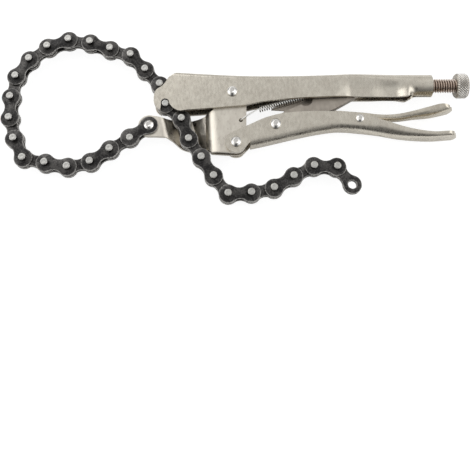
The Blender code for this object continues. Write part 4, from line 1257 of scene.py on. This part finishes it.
def thread():
    """The threaded shank, closed where the point and the knob cover it."""
    turns = int((KNOB_START - THREAD_START) / THREAD_PITCH) + 2
    mesh = bmesh.new()
    root = THREAD_RADIUS - THREAD_DEPTH
    zigzag = []
    for i in range(turns):
        x = THREAD_START + (i - 1) * THREAD_PITCH
        zigzag += [(x, root), (x + ROOT_END * THREAD_PITCH, root)]
        zigzag += [(x + share * THREAD_PITCH, THREAD_RADIUS) for share in CREST]
    zigzag.append((x + THREAD_PITCH, root))
    verts = [mesh.verts.new(SCREW_AXIS + ALONG * x + UP * radius) for x, radius in zigzag]
    edges = [mesh.edges.new(pair) for pair in zip(verts, verts[1:])]
    bmesh.ops.spin(
        mesh, geom=verts + edges, cent=SCREW_AXIS, axis=ALONG,
        dvec=ALONG * (THREAD_PITCH / THREAD_STEPS), angle=2 * math.pi, steps=THREAD_STEPS,
        use_merge=False, use_normal_flip=False, use_duplicate=False,
    )
    bmesh.ops.remove_doubles(mesh, verts=mesh.verts, dist=WELD * 2)
    for x, out in ((THREAD_START, -1), (KNOB_START + SHANK_OVERLAP, 1)):
        cutting = bmesh.ops.bisect_plane(
            mesh, geom=mesh.verts[:] + mesh.edges[:] + mesh.faces[:], dist=WELD / 10,
            plane_co=(x, 0, 0), plane_no=(out, 0, 0), clear_outer=True,
        )
        rim = [item for item in cutting["geom_cut"] if isinstance(item, bmesh.types.BMEdge)]
        bmesh.ops.holes_fill(mesh, edges=rim, sides=0)
    bmesh.ops.recalc_face_normals(mesh, faces=mesh.faces)
    return mesh


def screw_point():
    """The plain point that the toggle link leans on."""
    tip = screw_low.x
    profile = [(0, tip), (POINT_RADIUS - POINT_CHAMFER, tip), (POINT_RADIUS, tip + POINT_CHAMFER)]
    end = THREAD_START + SHANK_OVERLAP
    profile += [(POINT_RADIUS, end), (0, end)]
    return turned(profile, SCREW_AXIS, ALONG, UP, THREAD_STEPS)


finish_object(
    merged(thread(), screw_point()), "adjusting_screw_shank", screw_steel,
    "adjusting_screw", "screw_steel", "adjusting_screw",
)

# %% [markdown]
# The knob is cut with a diamond knurl: two sets of helical grooves that cross.
# A plain turned drum is given enough facets, and each of them is then pushed
# in by how deep the nearer groove is at its place.

# %% Knurled knob
KNURL_COUNT = 32
KNURL_STEPS = 320
KNURL_ROWS = 35
LAND_SHARE = 0.15


def wave(value):
    """A triangle wave: 0 in a groove, 1 on a ridge."""
    part = value - math.floor(value)
    return 1 - abs(2 * part - 1)


def knob():
    """The knurled drum at the screw's end."""
    start, end = KNOB_START, screw_high.x
    low, high = start + KNOB_CHAMFER, end - KNOB_CHAMFER
    profile = [(0, start), (KNOB_RADIUS - KNOB_CHAMFER, start)]
    rows = [low + (high - low) * i / KNURL_ROWS for i in range(KNURL_ROWS + 1)]
    profile += [(KNOB_RADIUS - KNURL_DEPTH * LAND_SHARE, x) for x in rows]
    profile += [(KNOB_RADIUS - KNOB_CHAMFER, end), (0, end)]
    mesh = turned(profile, SCREW_AXIS, ALONG, UP, KNURL_STEPS)
    groove = 2 * math.pi * KNOB_RADIUS / KNURL_COUNT
    for vert in mesh.verts:
        if low - WELD <= vert.co.x <= high + WELD:
            arm = Vector((0, vert.co.y - SCREW_AXIS.y, vert.co.z - SCREW_AXIS.z))
            around = math.atan2(arm.y, arm.z) / (2 * math.pi) * KNURL_COUNT
            along = (vert.co.x - low) / groove
            depth = 1 - min(wave(around + along), wave(around - along))
            vert.co -= arm.normalized() * (KNURL_DEPTH * depth)
    return mesh


finish_object(knob(), "adjusting_knob", knob_steel, "adjusting_screw", "screw_steel")
print("knob facets", KNURL_STEPS * KNURL_ROWS)

# %% [markdown]
# The tension spring is one unbroken wire: a hook through the jaw, a close
# coil, and a hook through the tab under the upper handle. On the real tool it
# bends between the two parts when the jaw turns.

# %% Tension spring
WIRE = 0.95 * MM
COIL_RADIUS = 1.95 * MM
COIL_TURNS = 20
COIL_POINTS = 24
COIL_START = Vector((19.0, -11.4, 1.2)) * MM
COIL_END = Vector((51.5, -1.7, 1.2)) * MM
JAW_HOLE = Vector((6.1, -20.7, 0)) * MM
TAB_EYE = Vector((*EYE, 1.2)) * MM
TAB_HALF = 1.0 * MM
WIRE_ROOM = 0.3 * MM


def spring_line():
    """Points of the wire's middle line, from the jaw's hole to the tab's eye."""
    axis = (COIL_END - COIL_START).normalized()
    side = UP.cross(axis)
    coil = []
    total = COIL_TURNS * COIL_POINTS
    for i in range(total + 1):
        turn = 2 * math.pi * i / COIL_POINTS + math.pi / 2
        ring = side * math.cos(turn) + UP * math.sin(turn)
        coil.append(COIL_START + (COIL_END - COIL_START) * (i / total) + ring * COIL_RADIUS)
    clear = WIRE / 2 + WIRE_ROOM
    outside = JAW_HALF * MM + clear
    inside = (JAW_HALF - SHEET) * MM - clear
    levels = (inside, inside + WIRE, outside - WIRE / 2)
    lead = [Vector((JAW_HOLE.x, JAW_HOLE.y, level)) for level in levels]
    past = (JAW_REAR * MM + WIRE - JAW_HOLE.x) / (coil[0].x - JAW_HOLE.x)
    for step in (past / 4, past):
        spot = JAW_HOLE + (coil[0] - JAW_HOLE) * step
        lead.append(Vector((spot.x, spot.y, outside)))
    tab = TAB_HALF + clear
    tail = [
        TAB_EYE + Vector((-WIRE, -WIRE / 2, tab)), TAB_EYE + Vector((0, 0, tab - WIRE / 2)),
        TAB_EYE + Vector((0, 0, -tab)),
    ]
    return lead + coil + tail


def spring_piece():
    """The wire as a round tube in its finish, from the jaw to the handle."""
    curve = bpy.data.curves.new("spring_wire", "CURVE")
    curve.dimensions = "3D"
    curve.bevel_depth = WIRE / 2
    curve.bevel_resolution = 3
    curve.use_fill_caps = True
    points = spring_line()
    line = curve.splines.new("POLY")
    line.points.add(len(points) - 1)
    for slot, point in zip(line.points, points):
        slot.co = (*(JAW + point), 1)
    holder = bpy.data.objects.new("spring_wire", curve)
    bpy.context.scene.collection.objects.link(holder)
    bpy.context.view_layer.update()
    mesh = bmesh.new()
    mesh.from_mesh(bpy.data.meshes.new_from_object(holder))
    bpy.data.objects.remove(holder)
    piece = new_object(mesh, "tension_spring_coil", spring_steel)
    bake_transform(piece)
    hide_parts("tension_spring")
    print("spring wire", len(points), "points,", COIL_TURNS, "turns")


spring_piece()

# %% [markdown]
# The table is a plain white sheet of paper. It shows white to the camera, but
# keeps a share of its own shading, so that the tool's soft shadow stays on it.

# %% Table
TABLE_SIZE = 1.6
TABLE_DROP = 0.05 * MM
SHADOW_SHARE = 0.30
MIRRORED_SHARE = 0.10
PAPER = 0.92
PAPER_GLOW = 1.25


def table():
    """A sheet of paper just under the tool."""
    material, tree, output = new_material("white_paper_sweep")
    path = add(tree, "ShaderNodeLightPath")
    mirrored = maths(tree, "MULTIPLY", path.outputs["Is Glossy Ray"], MIRRORED_SHARE)
    seen = path.outputs["Is Camera Ray"]
    share = maths(tree, "MULTIPLY_ADD", seen, 1 - SHADOW_SHARE, mirrored)
    paper = add(tree, "ShaderNodeBsdfDiffuse", {"Color": (*grey(PAPER), 1)})
    glow = add(tree, "ShaderNodeEmission", {"Color": (*grey(1), 1), "Strength": PAPER_GLOW})
    mix = add(tree, "ShaderNodeMixShader", {0: share, 1: paper.outputs[0], 2: glow.outputs[0]})
    tree.links.new(mix.outputs[0], output.inputs["Surface"])
    mesh = bmesh.new()
    bmesh.ops.create_grid(mesh, x_segments=1, y_segments=1, size=TABLE_SIZE / 2)
    bmesh.ops.translate(mesh, vec=(0, 0, cad_low[2] - TABLE_DROP), verts=mesh.verts)
    new_object(mesh, "table", material)


table()

# %% [markdown]
# Plated metal shows the room, so the room is the light. Overhead hangs an even
# tent, which flat faces mirror as a plain satin grey. Tall bright walls stand
# to the left and right and light up every fold that turns toward them. The
# front is open and dark, and it draws the dark line along each lower bend. Each
# level below is how high in the room a tone starts or ends, from 0 at the
# horizon to 1 overhead.

# %% Light
TENT = 0.60
WALL = 1.7
ROOM = 0.06
BACK_WALL = 0.62
SKY_GAIN = 2.0
WALL_LEVELS = (0.0, 0.16, 0.38, 0.74, 0.90)
FRONT_LEVELS = (0.0, 0.78, 0.975)
BACK_LEVELS = (0.0, 0.60, 0.90)


def studio():
    """The room as a sky: grey tones by height and side."""
    world = bpy.data.worlds.new("studio")
    bpy.context.scene.world = world
    world.use_nodes = True
    tree = world.node_tree
    tree.nodes.clear()
    output = add(tree, "ShaderNodeOutputWorld")
    place = add(tree, "ShaderNodeTexCoord").outputs["Generated"]
    split = add(tree, "ShaderNodeSeparateXYZ", {0: place})
    height = split.outputs["Z"]

    def tones(levels, *values):
        return ramp(tree, height, [
            (level, grey(value / SKY_GAIN)) for level, value in zip(levels, values)
        ])

    side = tones(WALL_LEVELS, ROOM * 2, ROOM * 6, WALL, WALL, TENT)
    front = tones(FRONT_LEVELS, ROOM, ROOM, TENT)
    back = tones(BACK_LEVELS, BACK_WALL, BACK_WALL, TENT)
    squares = [maths(tree, "MULTIPLY", *[split.outputs[axis]] * 2) for axis in ("X", "Y")]
    sideways = maths(tree, "DIVIDE", squares[0], maths(tree, "ADD", *squares))
    toward_back = maths(tree, "GREATER_THAN", split.outputs["Y"], 0.0)
    level = mixed_colour(tree, sideways, mixed_colour(tree, toward_back, front, back), side)
    seen = add(tree, "ShaderNodeLightPath").outputs["Is Camera Ray"]
    shown = mixed_colour(tree, seen, level, (*grey(1 / SKY_GAIN), 1))
    sky = add(tree, "ShaderNodeBackground", {"Color": shown, "Strength": SKY_GAIN})
    tree.links.new(sky.outputs[0], output.inputs["Surface"])


def lamp(name, place, size, power):
    """A soft square lamp aimed at the tool."""
    data = bpy.data.lights.new(name, "AREA")
    data.size = size
    data.energy = power
    item = bpy.data.objects.new(name, data)
    item.location = place
    item.rotation_euler = (-Vector(place)).to_track_quat("-Z", "Y").to_euler()
    bpy.context.scene.collection.objects.link(item)


KEY_PLACE = (-0.5, 0.9, 1.1)
KEY_SIZE = 0.7
KEY_POWER = 2.5

studio()
lamp("key_lamp", KEY_PLACE, KEY_SIZE, KEY_POWER)
print("room and key lamp set", len(bpy.data.lights), "lamp")
